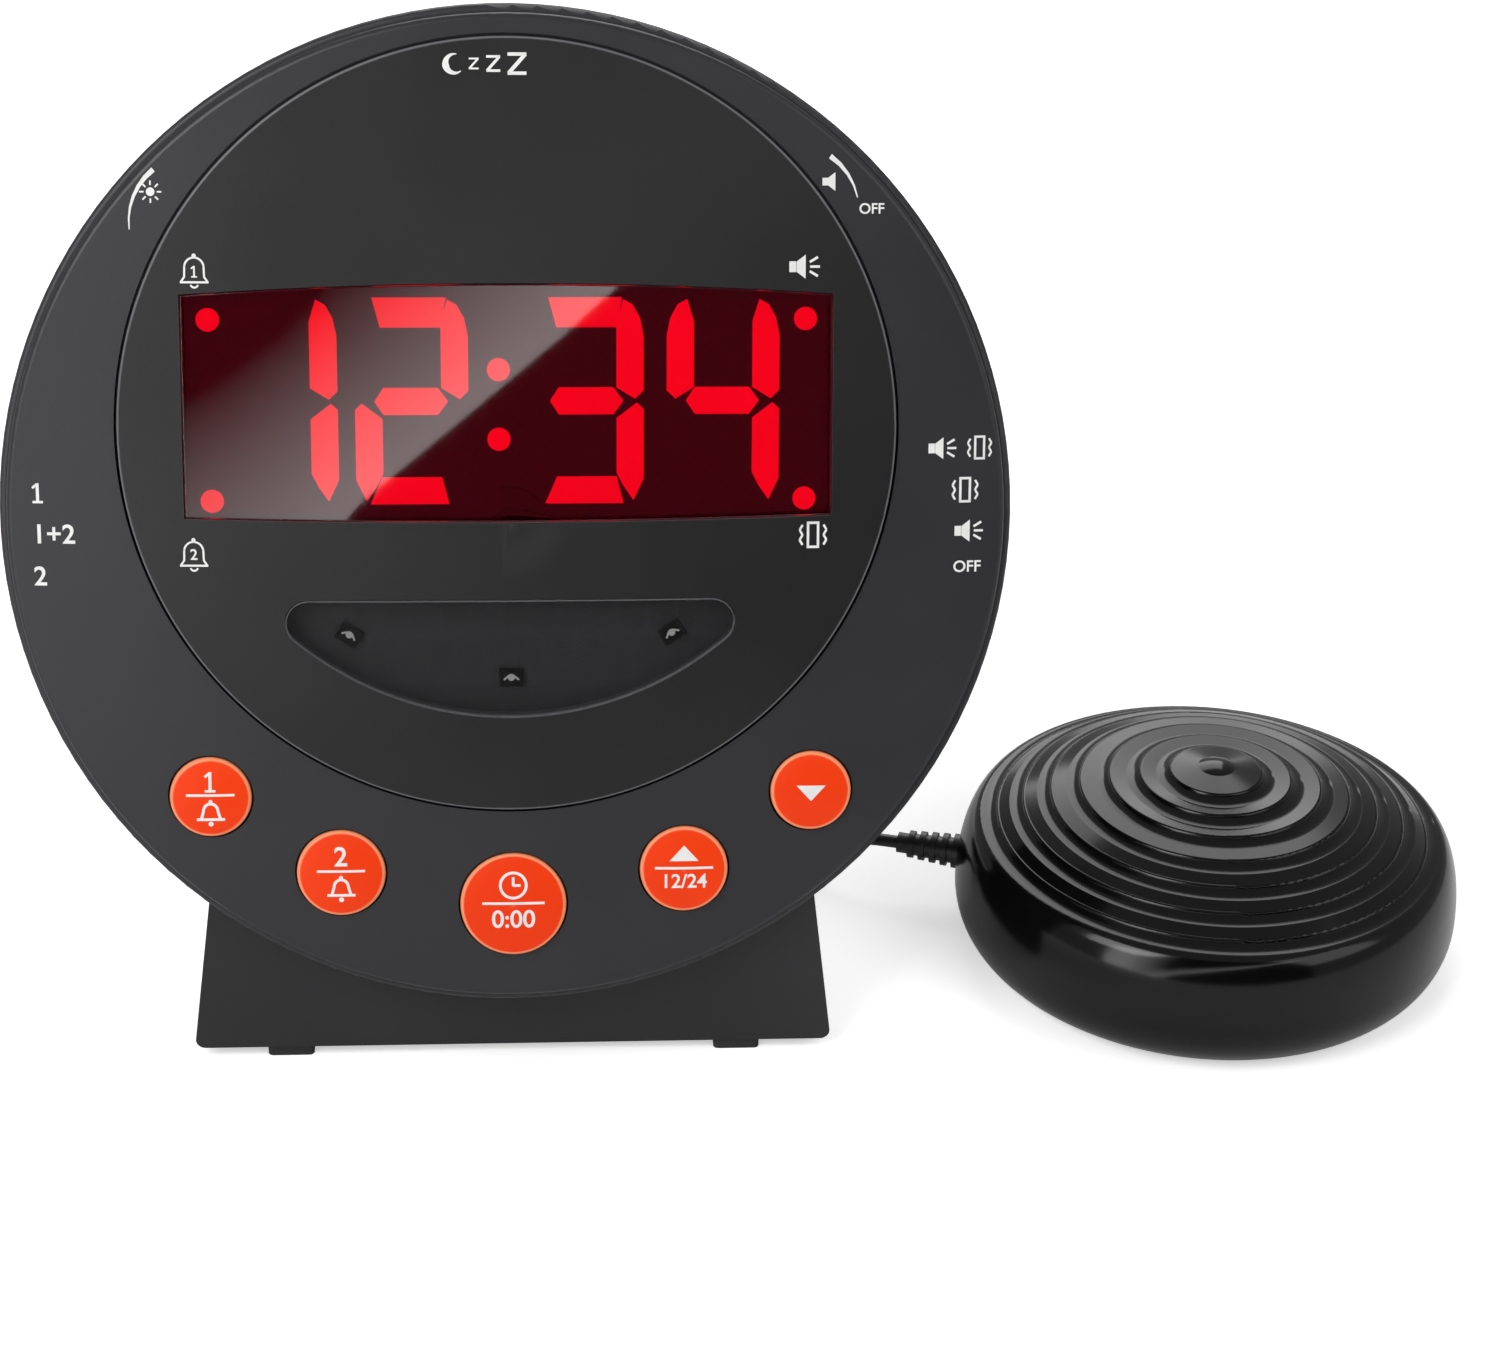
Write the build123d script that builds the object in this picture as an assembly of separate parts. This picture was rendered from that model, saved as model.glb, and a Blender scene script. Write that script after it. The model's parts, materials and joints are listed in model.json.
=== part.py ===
from build123d import *
import math
import os

"""Bed shaker alarm clock: a round clock head tilted back on a wedge stand, and a domed
vibrating puck on a cord, which goes under a pillow or a mattress.

Millimetres. +Z is up, +X is to the right of somebody who reads the clock, and the face looks
towards -Y. The head is modelled upright in its own frame (x right, y into the depth, z up,
origin at the middle of the rim's front plane), and is then tilted back and lifted into place.
The origin of the finished part is the middle of its footprint, on the surface it stands on.
"""

# Head: rim, domed bezel and stand-off
RIM_R = 75.0
RIM_DEPTH = 4.0
TILT = 18.0
HEAD_CLEARANCE = 13.0
HEAD_HEIGHT = RIM_R + HEAD_CLEARANCE
WALL = 2.2
BEZEL_INSET = 1.2
BEZEL_EDGE = 1.6
DOME_RISE = 4.0
SPIGOT_DEPTH = 1.6
SPIGOT_WALL = 1.9
FIT = 0.1
RUN = 0.3
OVERRUN = 1.0
RIM_ROUND = 0.9

# Housing behind the rim
RIM_OVERHANG = 3.5
BAND_R = RIM_R - RIM_OVERHANG
BAND_END = 18.0
BACK_TAPER = 11.5
BACK_R = BAND_R - BACK_TAPER
BACK_Y = 46.0
BACK_BULGE = 1.8
COVER_T = 3.0
COVER_LIP = 3.0

# Front panel: the raised disc that holds the display and the alert window
PANEL_SHARE = 0.7613
PANEL_RISE_SHARE = 0.1787
PANEL_R = RIM_R * PANEL_SHARE
PANEL_Z = RIM_R * PANEL_RISE_SHARE
PANEL_PROUD = 0.7
PANEL_GROOVE = 0.45
PANEL_WALL = 1.9
PANEL_ROUND = 0.4
PANEL_RIM = 2.0
LEDGE = 2.4
SEAT_Y = -0.6

# Display window and lens
WINDOW_HALF_SHARE = 0.8336
WINDOW_LOW_SHARE = -0.2215
WINDOW_HIGH_SHARE = 0.3529
WINDOW_HALF = PANEL_R * WINDOW_HALF_SHARE
WINDOW_BOTTOM = PANEL_Z + PANEL_R * WINDOW_LOW_SHARE
WINDOW_TOP = PANEL_Z + PANEL_R * WINDOW_HIGH_SHARE
WINDOW_ARCH = 1.75
WINDOW_SAG = 0.55
LENS_GAP = 0.15
LENS_RECESS = 0.15
LENS_ROUND = 0.2
ALERT_PROUD = 0.2
LENS_FLANGE = 1.2
LENS_FLANGE_T = 0.8

# Alert window: a crescent with a straight top
ALERT_HALF_SHARE = 0.5832
ALERT_HIGH_SHARE = -0.4326
ALERT_LOW_SHARE = -0.7496
ALERT_HALF = PANEL_R * ALERT_HALF_SHARE
ALERT_TOP = PANEL_Z + PANEL_R * ALERT_HIGH_SHARE
ALERT_BOTTOM = PANEL_Z + PANEL_R * ALERT_LOW_SHARE
ALERT_END_R = 3.6

# Digits, 1.2 inch high, and the round marks in the window
WINDOW_H = WINDOW_TOP - WINDOW_BOTTOM
DIGIT_H_SHARE = 0.93
DIGIT_BASE_SHARE = 0.0473
DIGIT_H = WINDOW_H * DIGIT_H_SHARE
DIGIT_BASE = WINDOW_BOTTOM + WINDOW_H * DIGIT_BASE_SHARE
SEG_SHARE = 0.131
SEG_W = DIGIT_H * SEG_SHARE
UPPER_BLADE_SHARES = (
    (0, 0.13), (0, 0.77), (0.25, 0.98), (0.6, 0.93), (0.87, 0.8), (1, 0.63), (1, 0.1), (0.68, 0.02),
)
LOWER_BLADE_SHARES = (
    (0, -0.17), (0, -0.7), (0.25, -0.83), (0.62, -0.97), (1, -0.76), (1, -0.08), (0.75, -0.02),
)
TOP_BAR_SHARES = ((-0.68, 1), (0.62, 1), (0.52, -0.1), (-0.54, -0.1))
MIDDLE_BAR_SHARES = ((-0.66, 0.5), (-0.5, 1), (0.46, 1), (0.64, 0.5), (0.46, 0), (-0.5, 0))
BOTTOM_BAR_SHARES = ((-0.75, 0), (0.64, 0), (0.52, 1), (-0.54, 1))
SEG_T = 0.25
DIGIT_HALF_SHARE = 0.1744
DIGIT_HALF = WINDOW_HALF * DIGIT_HALF_SHARE
DIGIT_CENTRE_SHARES = (-0.6996, -0.2983, 0.2416, 0.6618)
DIGIT_SEGMENTS = ("bc", "abged", "abgcd", "fgbc")
COLON_SHARE = -0.0315
COLON_RISE_SHARES = (0.654, 0.34)
DOT_R = 1.7
MARK_SHARE = 0.916
MARK_RISE_SHARES = (0.88, 0.0655)
MODULE_Y = -0.7
MODULE_DEPTH = 7.0
MODULE_MARGIN = 1.6
BOARD_T = 1.6

# Alert lights
CHIP = (3.6, 0.8, 2.7)
CHIP_SHARE = 0.7207
CHIP_DROP = 6.0
CHIP_LOW_DROP = 12.7
CHIP_X = ALERT_HALF * CHIP_SHARE
CHIP_Z = ALERT_TOP - CHIP_DROP
CHIP_LOW_Z = ALERT_TOP - CHIP_LOW_DROP
CHIP_TURN = 32.0
ALERT_BOARD_Y = -1.4

# Keys: five round caps on a ring round the lower edge
KEY_NAMES = ("alarm1", "alarm2", "time", "up", "down")
KEY_ANGLES = (-47.2, -25.7, 0.0, 25.7, 47.2)
KEY_RING_SHARES = (0.8173, 0.7933, 0.784, 0.7933, 0.8173)
KEY_RADIUS_SHARES = (0.0813, 0.0887, 0.1067, 0.0887, 0.0813)
KEY_RINGS = tuple(RIM_R * share for share in KEY_RING_SHARES)
KEY_RADII = tuple(RIM_R * share for share in KEY_RADIUS_SHARES)
KEY_PROUD = 1.1
KEY_EDGE = 0.8
KEY_CROWN = 0.5
KEY_GAP = 0.3
KEY_GUIDE = 1.2
KEY_FLANGE = 1.0
KEY_FLANGE_T = 1.2
KEY_STEM_R = 1.9
KEY_BOARD_Y = 9.6
KEY_BOARD_HALF = 8.5
KEY_BOARD_INNER = KEY_RINGS[2] - KEY_BOARD_HALF
KEY_BOARD_OUTER = KEY_RINGS[2] + KEY_BOARD_HALF
KEY_BOARD_ANGLE = 56.0
KEY_POST_R = 2.2
KEY_POST_SHIFT = 2.2

# Tact switches under the keys and the snooze bar
TACT_SIZE = 6.0
TACT_H = 3.5
TACT_R = 1.6
TACT_PROUD = 1.4
TACT_DEPTH = 1.2

# Snooze bar on top of the band
SNOOZE_HALF = 29.0
SNOOZE_Y0 = 6.5
SNOOZE_Y1 = 16.0
SNOOZE_PROUD = 2.4
SNOOZE_TRAVEL = 1.2
SNOOZE_LIP = 1.6
SNOOZE_LIP_T = 1.4
SNOOZE_STEM_R = 3.0
SNOOZE_SWITCH_DEPTH = 13.5
SNOOZE_SWITCH_R = BAND_R - SNOOZE_SWITCH_DEPTH
SNOOZE_WALL = 1.6
SNOOZE_BOARD = (24.0, 7.5, 17.9)
BRACKET_T = 2.0

# Thumb wheels for the dimmer and the volume
WHEEL_ANGLE = 46.8
WHEEL_R = 8.0
WHEEL_T = 3.2
WHEEL_Y = 8.4
WHEEL_PROUD = 1.9
WHEEL_NOTCHES = 24
WHEEL_NOTCH_R = 0.45
SHELF_T = 2.0
SHAFT_FIT = 0.05
POT_SIZE = 7.0
POT_T = 4.5
SHAFT_R = 1.5
SHAFT_IN = 3.5

# Slide switches: alarm choice on the left, wake mode on the right
ALARM_Z = -2.0
MODE_Z = 1.3
STEP = 5.0
ALARM_STEPS = 2
MODE_STEPS = 3
KNOB = (3.0, 3.0)
KNOB_CAP = (6.0, 5.0)
KNOB_PROUD = 1.7
KNOB_DEPTH = 2.2
SWITCH_Y = 11.0
SWITCH_W = 7.0
SWITCH_DEPTH = 5.0
SWITCH_END = 4.5
SWITCH_SLOT_DEPTH = 2.8

# Rear cover: speaker grille, battery pocket, sockets, screws
GRILLE_SHARE = 1 / 3
GRILLE_Z = BACK_R * GRILLE_SHARE
GRILLE_R = 17.0
GRILLE_PITCH = 4.2
GRILLE_SLOT = 1.8
SPEAKER_R = 20.0
SPEAKER_RIM_T = 1.5
SPEAKER_BACK_R = 11.0
SPEAKER_BACK_Y = 29.0
SPEAKER_BASKET_Y = 36.0
SPEAKER_BASKET_R = 13.0
SPEAKER_WALL = 0.9
CONE_T = 0.5
CONE_DEPTH = 4.5
CONE_R = 17.5
CONE_CAP_R = 6.0
CELL_R = 10.0
CELL_T = 3.2
CELL_SHARE = 0.4833
CELL_RISE_SHARE = -0.35
CELL_X = BACK_R * CELL_SHARE
CELL_Z = BACK_R * CELL_RISE_SHARE
CELL_WALL = 1.4
DOOR_HALF = 12.5
DOOR_T = 1.6
DOOR_TRAVEL = 12.0
DOOR_RIBS = 3
DOOR_RIB = 0.5
JACK_RISE_SHARE = -0.6
DC_SHARE = 0.1
SHAKER_JACK_SHARE = -1 / 3
JACK_Z = BACK_R * JACK_RISE_SHARE
DC_X = BACK_R * DC_SHARE
SHAKER_JACK_X = BACK_R * SHAKER_JACK_SHARE
DC_BORE = 2.75
DC_DEPTH = 9.0
DC_PIN_R = 1.0
JACK_R = 5.0
JACK_BODY = 12.0
JACK_BORE = 1.8
COVER_SCREW_INSET = 8.0
COVER_SCREW_R = BACK_R - COVER_SCREW_INSET
COVER_SCREW_ANGLES = (45.0, 135.0, 205.0, 335.0)
SCREW_R = 1.4
SCREW_HEAD_R = 2.8
SCREW_HEAD_T = 1.8
SCREW_L = 9.0
SCREW_SINK = 0.4
BOSS_L = 14.0
COVER_ROUND = 1.4
COVER_POST_SHARES = ((-0.633, 0.5), (0.633, 0.5), (-0.633, -0.4), (0.167, -0.333))
COVER_POST_R = 2.6
BOSS_R = 3.2

# Main board
MAIN_Y = 20.0
MAIN_SHARE = 0.7167
MAIN_HALF = BACK_R * MAIN_SHARE
MAIN_LOW_SHARE = -0.5
MAIN_HIGH_SHARE = 0.633
MAIN_Z0 = BACK_R * MAIN_LOW_SHARE
MAIN_Z1 = BACK_R * MAIN_HIGH_SHARE
CHIP_BOX = (14.0, 2.0, 14.0)
CAPACITOR_R = 4.0
CAPACITOR_L = 8.0

# Stand
STAND_FRONT = -14.5
STAND_BACK = 46.0
STAND_HALF = 49.9
STAND_LEAN = 0.13
STAND_BACK_HALF = 37.0
STAND_TOP = 36.0
STAND_HEEL_Y = 31.0
STAND_HEEL_TOP = 19.0
STAND_BACK_TOP = 9.0
STAND_WALL = 2.4
STAND_ROUND = 1.5
SADDLE_GAP = 0.2
FOOT_H = 2.0
FOOT_SINK = 0.8
FOOT = (7.2, 10.0)
FOOT_PEG = (4.0, 4.0)
FOOT_EDGE = 0.5
FOOT_X = 35.0
FOOT_BACK_X = 27.0
FOOT_INSET = 3.0
PLATE_T = 2.0
PLATE_SINK = 0.6
POST_R = 3.4
POST_SINK = 0.4

# Shaker puck
PUCK_X = 114.2
PUCK_Y = 15.8
PUCK_R = 41.2
PUCK_H = 33.0
PUCK_WIDEST = 9.5
PUCK_WALL = 2.2
PUCK_RING_SHARES = (0.186893, 0.303398, 0.42233, 0.536408, 0.648058, 0.754854, 0.854369)
PUCK_RINGS = tuple(PUCK_R * share for share in PUCK_RING_SHARES)
PUCK_FALL_SHARES = (0.06, 0.15, 0.24, 0.38, 0.57, 0.77, 1.0)
PUCK_FALL = 10.0
PUCK_STEP = 0.5
PUCK_COVE_W = 2.0
PUCK_COVE_H = 1.2
PUCK_COVE_SHARE = 0.35
PUCK_DOT_R = 3.0
PUCK_DOT_RISE = 0.6
PUCK_FLOOR_SHARE = 0.837379
PUCK_FOOT_SHARE = 0.800971
PUCK_FLOOR_R = PUCK_R * PUCK_FLOOR_SHARE
PUCK_FOOT_R = PUCK_R * PUCK_FOOT_SHARE
PUCK_FOOT_W = 5.0
PUCK_FOOT_T = 1.6
PUCK_FLOOR = 0.8
PUCK_FLOOR_T = 2.2
MOTOR_R = 8.0
MOTOR_L = 25.0
MOTOR_Z = 14.0
MOTOR_FRONT_SHARE = 0.218447
MOTOR_END = PUCK_R * MOTOR_FRONT_SHARE - MOTOR_L
MOTOR_SHAFT_R = 1.2
MOTOR_SHAFT_L = 11.0
WEIGHT_R = 9.5
WEIGHT_T = 7.0
WEIGHT_HUB_R = 3.2
WEIGHT_GAP = 2.0
CLAMP_T = 1.6
CLAMP_W = 12.0
CLAMP_EAR = 7.0
PUCK_POST_R = 3.2
PUCK_POST_SHARE = 0.59466
PUCK_POST_RING = PUCK_R * PUCK_POST_SHARE
PUCK_POST_ANGLES = (0.0, 120.0, 240.0)
PUCK_SCREW_L = 10.0

# Cord, its strain reliefs, plug and tie
CORD_D = 2.2
EXIT_ANGLE = 17.2
EXIT_Z = 9.0
RELIEF_R0 = 2.9
RELIEF_R1 = 2.3
RELIEF_L = 10.5
RELIEF_RIBS = 5
RELIEF_NECK = 0.75
RELIEF_COLLAR = 2.0
PLUG_R = 4.4
PLUG_L = 17.0
PLUG_TIP_R = 1.7
PLUG_TIP_L = 11.0
PLUG_RELIEF_L = 9.0
PLUG_SEAT = 0.4
COIL_X = 8.0
COIL_Y = 80.0
COIL_Z = 2.5
COIL_TURNS = 4
COIL_INNER = 6.8
COIL_PITCH = 3.2
COIL_LAYER = 2.9
COIL_LAYERS = 4
TIE_T = 0.8
TIE_W = 3.0
TIE_GAP = 0.3

# Where the free cord runs, from the puck to the coil and from the coil to the plug
LEAD_POINTS = (
    (50.4, 37.4, 4.6),
    (42.4, 43.4, 1.5),
    (34.4, 51.4, 1.6),
)
TAIL_POINTS = (
    (20.6, 103.2, 12.4),
    (9.0, 109.6, 15.4),
    (-4.4, 109.4, 19.6),
    (-15.4, 102.6, 23.4),
    (-20.4, 90.5, 24.4),
)
LEAD_FIRST_RUN = 8.0
LEAD_LAST_RUN = 13.0
TAIL_FIRST_RUN = 10.0
TAIL_LAST_RUN = 14.0
RADIUS_SHARE = 0.45

QUARTER_ANGLE = 90
BEZEL_R = RIM_R - BEZEL_INSET
SPIGOT_R = BAND_R - WALL - FIT
DOME_R = (BEZEL_R**2 + DOME_RISE**2) / (2 * DOME_RISE)
DOME_Y = DOME_R - DOME_RISE - BEZEL_EDGE
HEAD = Location((0, 0, HEAD_HEIGHT), (-TILT, 0, 0))
CORD_R = CORD_D / 2


def turned(points):
    """Revolve a closed outline of (radius, depth) points about the head's y axis."""
    return revolve(make_face(Polyline(*[(r, y, 0) for r, y in points], close=True)), Axis.Y)


def disc(radius, y0, y1, x=0.0, z=0.0):
    """A cylinder along y between two depths."""
    return Pos(x, (y0 + y1) / 2, z) * Rot(90, 0, 0) * Cylinder(radius, y1 - y0)


def post(radius, z0, z1, x=0.0, y=0.0):
    """A cylinder along z between two heights."""
    return Pos(x, y, (z0 + z1) / 2) * Cylinder(radius, z1 - z0)


def block(x0, x1, y0, y1, z0, z1):
    """A box between two corners."""
    return Pos((x0 + x1) / 2, (y0 + y1) / 2, (z0 + z1) / 2) * Box(x1 - x0, y1 - y0, z1 - z0)


def crowned(radius, front, crown, back):
    """A solid of revolution about y with a crowned front that rises by crown at its middle."""
    ball_r = (radius**2 + crown**2) / (2 * crown)
    half = radius / 2
    sag = ball_r - math.sqrt(ball_r**2 - half**2)
    cap = ThreePointArc((0, front), (half, front + sag), (radius, front + crown))
    sides = Polyline((radius, front + crown), (radius, back), (0, back), (0, front))
    return revolve(make_face([*cap.edges(), *sides.edges()]), Axis.Y)


def dome_ball(outward):
    """Everything behind the face's dome, with the dome moved towards the reader by outward."""
    ball_r = DOME_R + outward
    crown = ball_r - math.sqrt(ball_r**2 - RIM_R**2)
    return crowned(RIM_R, DOME_Y - ball_r, crown, RIM_R)


def group(shapes):
    """Several solids as one piece of the part."""
    return Compound([solid for shape in shapes for solid in shape.solids()])


def dome_depth(radius):
    """Depth of the bezel's outer surface at a radius from the middle."""
    return DOME_Y - math.sqrt(DOME_R**2 - radius**2)


def along_depth(sketch, y0, y1):
    """Extrude a sketch drawn as (x, z) from depth y0 to depth y1."""
    plane = Plane(origin=(0, y1, 0), x_dir=(1, 0, 0), z_dir=(0, -1, 0))
    return extrude(plane * sketch, y1 - y0)


def dome_slice(sketch, front, back):
    """A slice of the domed shell behind the face: front and back are measured from the bezel."""
    depth = DOME_RISE + BEZEL_EDGE + abs(front) + abs(back) + OVERRUN
    column = along_depth(sketch, -depth, depth)
    return (column & dome_ball(front)) - dome_ball(back)


def ring_place(angle, radius):
    """The (x, z) place on a ring of the face, with the angle counted from the lowest point."""
    turn = math.radians(angle)
    return radius * math.sin(turn), -radius * math.cos(turn)


def window_outline(grow):
    """The display window: straight sides, an arched top edge and a slightly sagging lower one."""
    half = WINDOW_HALF + grow
    top = WINDOW_TOP + grow
    bottom = WINDOW_BOTTOM - grow
    upper = ThreePointArc((-half, top), (0, top + WINDOW_ARCH), (half, top))
    right = Line((half, top), (half, bottom))
    lower = ThreePointArc((half, bottom), (0, bottom - WINDOW_SAG), (-half, bottom))
    left = Line((-half, bottom), (-half, top))
    return make_face([upper, right, lower, left])


def alert_outline(grow):
    """The alert window: a straight top, round ends and one long arc below, all tangent."""
    end_r = ALERT_END_R + grow
    end_x = ALERT_HALF - ALERT_END_R
    end_z = ALERT_TOP - ALERT_END_R
    drop = end_z - ALERT_BOTTOM + grow
    long_r = (end_x**2 + drop**2 - end_r**2) / (2 * (drop - end_r))
    centre_z = ALERT_BOTTOM - grow + long_r
    share = long_r / (long_r - end_r)
    join = (end_x * share, centre_z + (end_z - centre_z) * share)
    half_turn = (math.pi / 2 + math.atan2(join[1] - end_z, join[0] - end_x)) / 2
    middle = (end_x + end_r * math.cos(half_turn), end_z + end_r * math.sin(half_turn))
    top = Line((-end_x, end_z + end_r), (end_x, end_z + end_r))
    right = ThreePointArc((end_x, end_z + end_r), middle, join)
    low = ThreePointArc(join, (0, centre_z - long_r), (-join[0], join[1]))
    left = ThreePointArc((-join[0], join[1]), (-middle[0], middle[1]), (-end_x, end_z + end_r))
    return make_face([top, right, low, left])


def key_places():
    """Name, (x, z) place and radius of each key."""
    rows = zip(KEY_NAMES, KEY_ANGLES, KEY_RINGS, KEY_RADII)
    return [(name, ring_place(angle, ring), radius) for name, angle, ring, radius in rows]


def round_circle(shape, radius, depth, amount):
    """Round the circular edge of a given radius at a given depth."""
    found = []
    for edge in shape.edges().filter_by(GeomType.CIRCLE):
        if abs(edge.radius - radius) < FIT and abs(edge.arc_center.Y - depth) < FIT:
            found.append(edge)
    return fillet(found, amount)


def round_front(shape, amount):
    """Round the edge of a shape's foremost face."""
    return fillet(shape.faces().sort_by(Axis.Y)[0].edges(), amount)


def front_bezel():
    """The domed front ring: panel seat, key guides and posts for the key board."""
    face = crowned(BEZEL_R, -DOME_RISE - BEZEL_EDGE, DOME_RISE, 0)
    face = round_circle(face, BEZEL_R, -BEZEL_EDGE, RIM_ROUND)
    form = face + disc(SPIGOT_R, 0, SPIGOT_DEPTH)
    space = disc(SPIGOT_R - SPIGOT_WALL, -DOME_RISE - BEZEL_EDGE, SPIGOT_DEPTH) & dome_ball(-WALL)
    pocket_r = PANEL_R + PANEL_GROOVE
    space -= disc(pocket_r + PANEL_RIM, -DOME_RISE - BEZEL_EDGE, SPIGOT_DEPTH, z=PANEL_Z)
    for _, (x, z), radius in key_places():
        space -= disc(radius + KEY_GAP + KEY_GUIDE, -DOME_RISE, SPIGOT_DEPTH, x, z)
    form -= space
    form -= disc(pocket_r, -DOME_RISE - BEZEL_EDGE - OVERRUN, SEAT_Y, z=PANEL_Z)
    form -= disc(PANEL_R - LEDGE, SEAT_Y - OVERRUN, SPIGOT_DEPTH + OVERRUN, z=PANEL_Z)
    for _, (x, z), radius in key_places():
        form -= disc(radius + KEY_GAP, -DOME_RISE - BEZEL_EDGE - OVERRUN, SPIGOT_DEPTH + OVERRUN, x, z)
    for turn in (-1, 1):
        for share in (0.5, 1.5):
            between = turn * (KEY_ANGLES[3] * share - KEY_POST_SHIFT * (share - 1))
            x, z = ring_place(between, KEY_RINGS[1])
            form += disc(KEY_POST_R, dome_depth(KEY_RINGS[0]) + WALL, KEY_BOARD_Y, x, z)
    return form


def front_panel():
    """The raised round panel with its rim, the display window and the alert window."""
    deep = DOME_RISE + BEZEL_EDGE + PANEL_PROUD + OVERRUN
    form = disc(PANEL_R, -deep, SEAT_Y, z=PANEL_Z) & dome_ball(PANEL_PROUD)
    form = round_front(form, PANEL_ROUND)
    inner = disc(PANEL_R - PANEL_RIM, -deep, SEAT_Y + OVERRUN, z=PANEL_Z)
    form -= inner & dome_ball(PANEL_PROUD - PANEL_WALL)
    form -= along_depth(window_outline(0), -deep, SEAT_Y)
    form -= along_depth(alert_outline(0), -deep, SEAT_Y)
    return form


def lens(outline, proud, back_y=None):
    """A lens for one window, with a flange that is bonded behind the panel's wall."""
    seat = PANEL_PROUD - PANEL_WALL - LENS_GAP
    form = dome_slice(outline(-LENS_GAP), PANEL_PROUD + proud, seat - LENS_FLANGE_T)
    form = round_front(form, LENS_ROUND)
    flange = dome_slice(outline(LENS_FLANGE), seat, seat - LENS_FLANGE_T)
    if back_y is None:
        return form + flange
    skirt = along_depth(outline(LENS_FLANGE) - outline(0), -DOME_RISE - BEZEL_EDGE, back_y)
    return form + flange + (skirt & dome_ball(seat))


def segment(shares, width, height):
    """One display segment from its corners' shares of a width and a height."""
    return make_face(Polyline(*[(across * width, up * height) for across, up in shares], close=True))


def digit_segment(letter):
    """One segment of a seven-segment digit, about the digit's middle."""
    reach = DIGIT_H / 2
    flat_places = {
        "a": (TOP_BAR_SHARES, reach - SEG_W),
        "g": (MIDDLE_BAR_SHARES, -SEG_W / 2),
        "d": (BOTTOM_BAR_SHARES, -reach),
    }
    if letter in flat_places:
        shares, low = flat_places[letter]
        return Pos(0, low) * segment(shares, DIGIT_HALF, SEG_W)
    blade = segment(UPPER_BLADE_SHARES if letter in "bf" else LOWER_BLADE_SHARES, SEG_W, reach)
    right = Pos(DIGIT_HALF - SEG_W, 0) * blade
    return right if letter in "bc" else mirror(right, Plane.YZ)


def lit_segments():
    """The digits, the colon and the four round marks, standing a little off the display."""
    back = MODULE_Y
    front = MODULE_Y - SEG_T
    middle = DIGIT_BASE + DIGIT_H / 2
    shapes = []
    for share, letters in zip(DIGIT_CENTRE_SHARES, DIGIT_SEGMENTS):
        for letter in letters:
            place = Pos(WINDOW_HALF * share, middle)
            shapes.append(along_depth(place * digit_segment(letter), front, back))
    dots = [(COLON_SHARE, rise) for rise in COLON_RISE_SHARES]
    dots += [(side * MARK_SHARE, rise) for side in (-1, 1) for rise in MARK_RISE_SHARES]
    for share, rise in dots:
        shapes.append(disc(DOT_R, front, back, WINDOW_HALF * share, WINDOW_BOTTOM + WINDOW_H * rise))
    return group(shapes)


def module_box(margin, y0, y1):
    """A box behind the display window, with a margin round the window."""
    half = WINDOW_HALF + margin
    return block(-half, half, y0, y1, WINDOW_BOTTOM - margin, WINDOW_TOP + margin)


def display_board():
    """The circuit board on the back of the display, with its two driver chips."""
    front = MODULE_Y + MODULE_DEPTH
    board = module_box(0, front, front + BOARD_T)
    width, depth, height = CHIP_BOX
    for side in (-1, 1):
        x = side * WINDOW_HALF / 2
        z = (WINDOW_BOTTOM + WINDOW_TOP) / 2
        board += block(x - width / 2, x + width / 2, front + BOARD_T, front + BOARD_T + depth,
                       z - height / 2, z + height / 2)
    return board


def alert_board():
    """The board that closes the back of the alert window."""
    return along_depth(alert_outline(LENS_FLANGE), ALERT_BOARD_Y, ALERT_BOARD_Y + BOARD_T)


def alert_leds():
    """Three light chips behind the alert window."""
    width, depth, height = CHIP
    chips = []
    for x, z, turn in ((-CHIP_X, CHIP_Z, CHIP_TURN), (0, CHIP_LOW_Z, 0), (CHIP_X, CHIP_Z, -CHIP_TURN)):
        chip = Rot(0, turn, 0) * Box(width, depth, height)
        chips.append(Pos(x, ALERT_BOARD_Y - depth / 2, z) * chip)
    return group(chips)


def key_cap(place, radius):
    """One round key: a crowned cap, the flange that keeps it in and the stem behind."""
    x, z = place
    front = dome_depth(math.hypot(x, z)) - KEY_PROUD
    flange_y = SPIGOT_DEPTH + RUN
    cap = crowned(radius, front, KEY_CROWN, flange_y)
    cap = round_circle(cap, radius, front + KEY_CROWN, KEY_EDGE)
    cap += disc(radius + KEY_FLANGE, flange_y, flange_y + KEY_FLANGE_T)
    cap += disc(KEY_STEM_R, flange_y, KEY_BOARD_Y - TACT_H - TACT_PROUD)
    return Pos(x, 0, z) * cap


def tact_body():
    """A switch body that sits on y = 0 and faces -y, with the bore for its plunger."""
    body = Pos(0, -TACT_H / 2, 0) * Box(TACT_SIZE, TACT_H, TACT_SIZE)
    deep = TACT_DEPTH + SNOOZE_TRAVEL + FIT
    return body - disc(TACT_R + SHAFT_FIT, -TACT_H - OVERRUN, -TACT_H + deep)


def tact_plunger():
    """The plunger of such a switch, standing proud of it."""
    return disc(TACT_R, -TACT_H - TACT_PROUD, -TACT_H + TACT_DEPTH)


def tact_switches():
    """The switches behind the five keys."""
    rows = zip(KEY_ANGLES, key_places())
    bodies = [Pos(x, KEY_BOARD_Y, z) * Rot(0, -angle, 0) * tact_body() for angle, (_, (x, z), _) in rows]
    return group(bodies)


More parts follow.
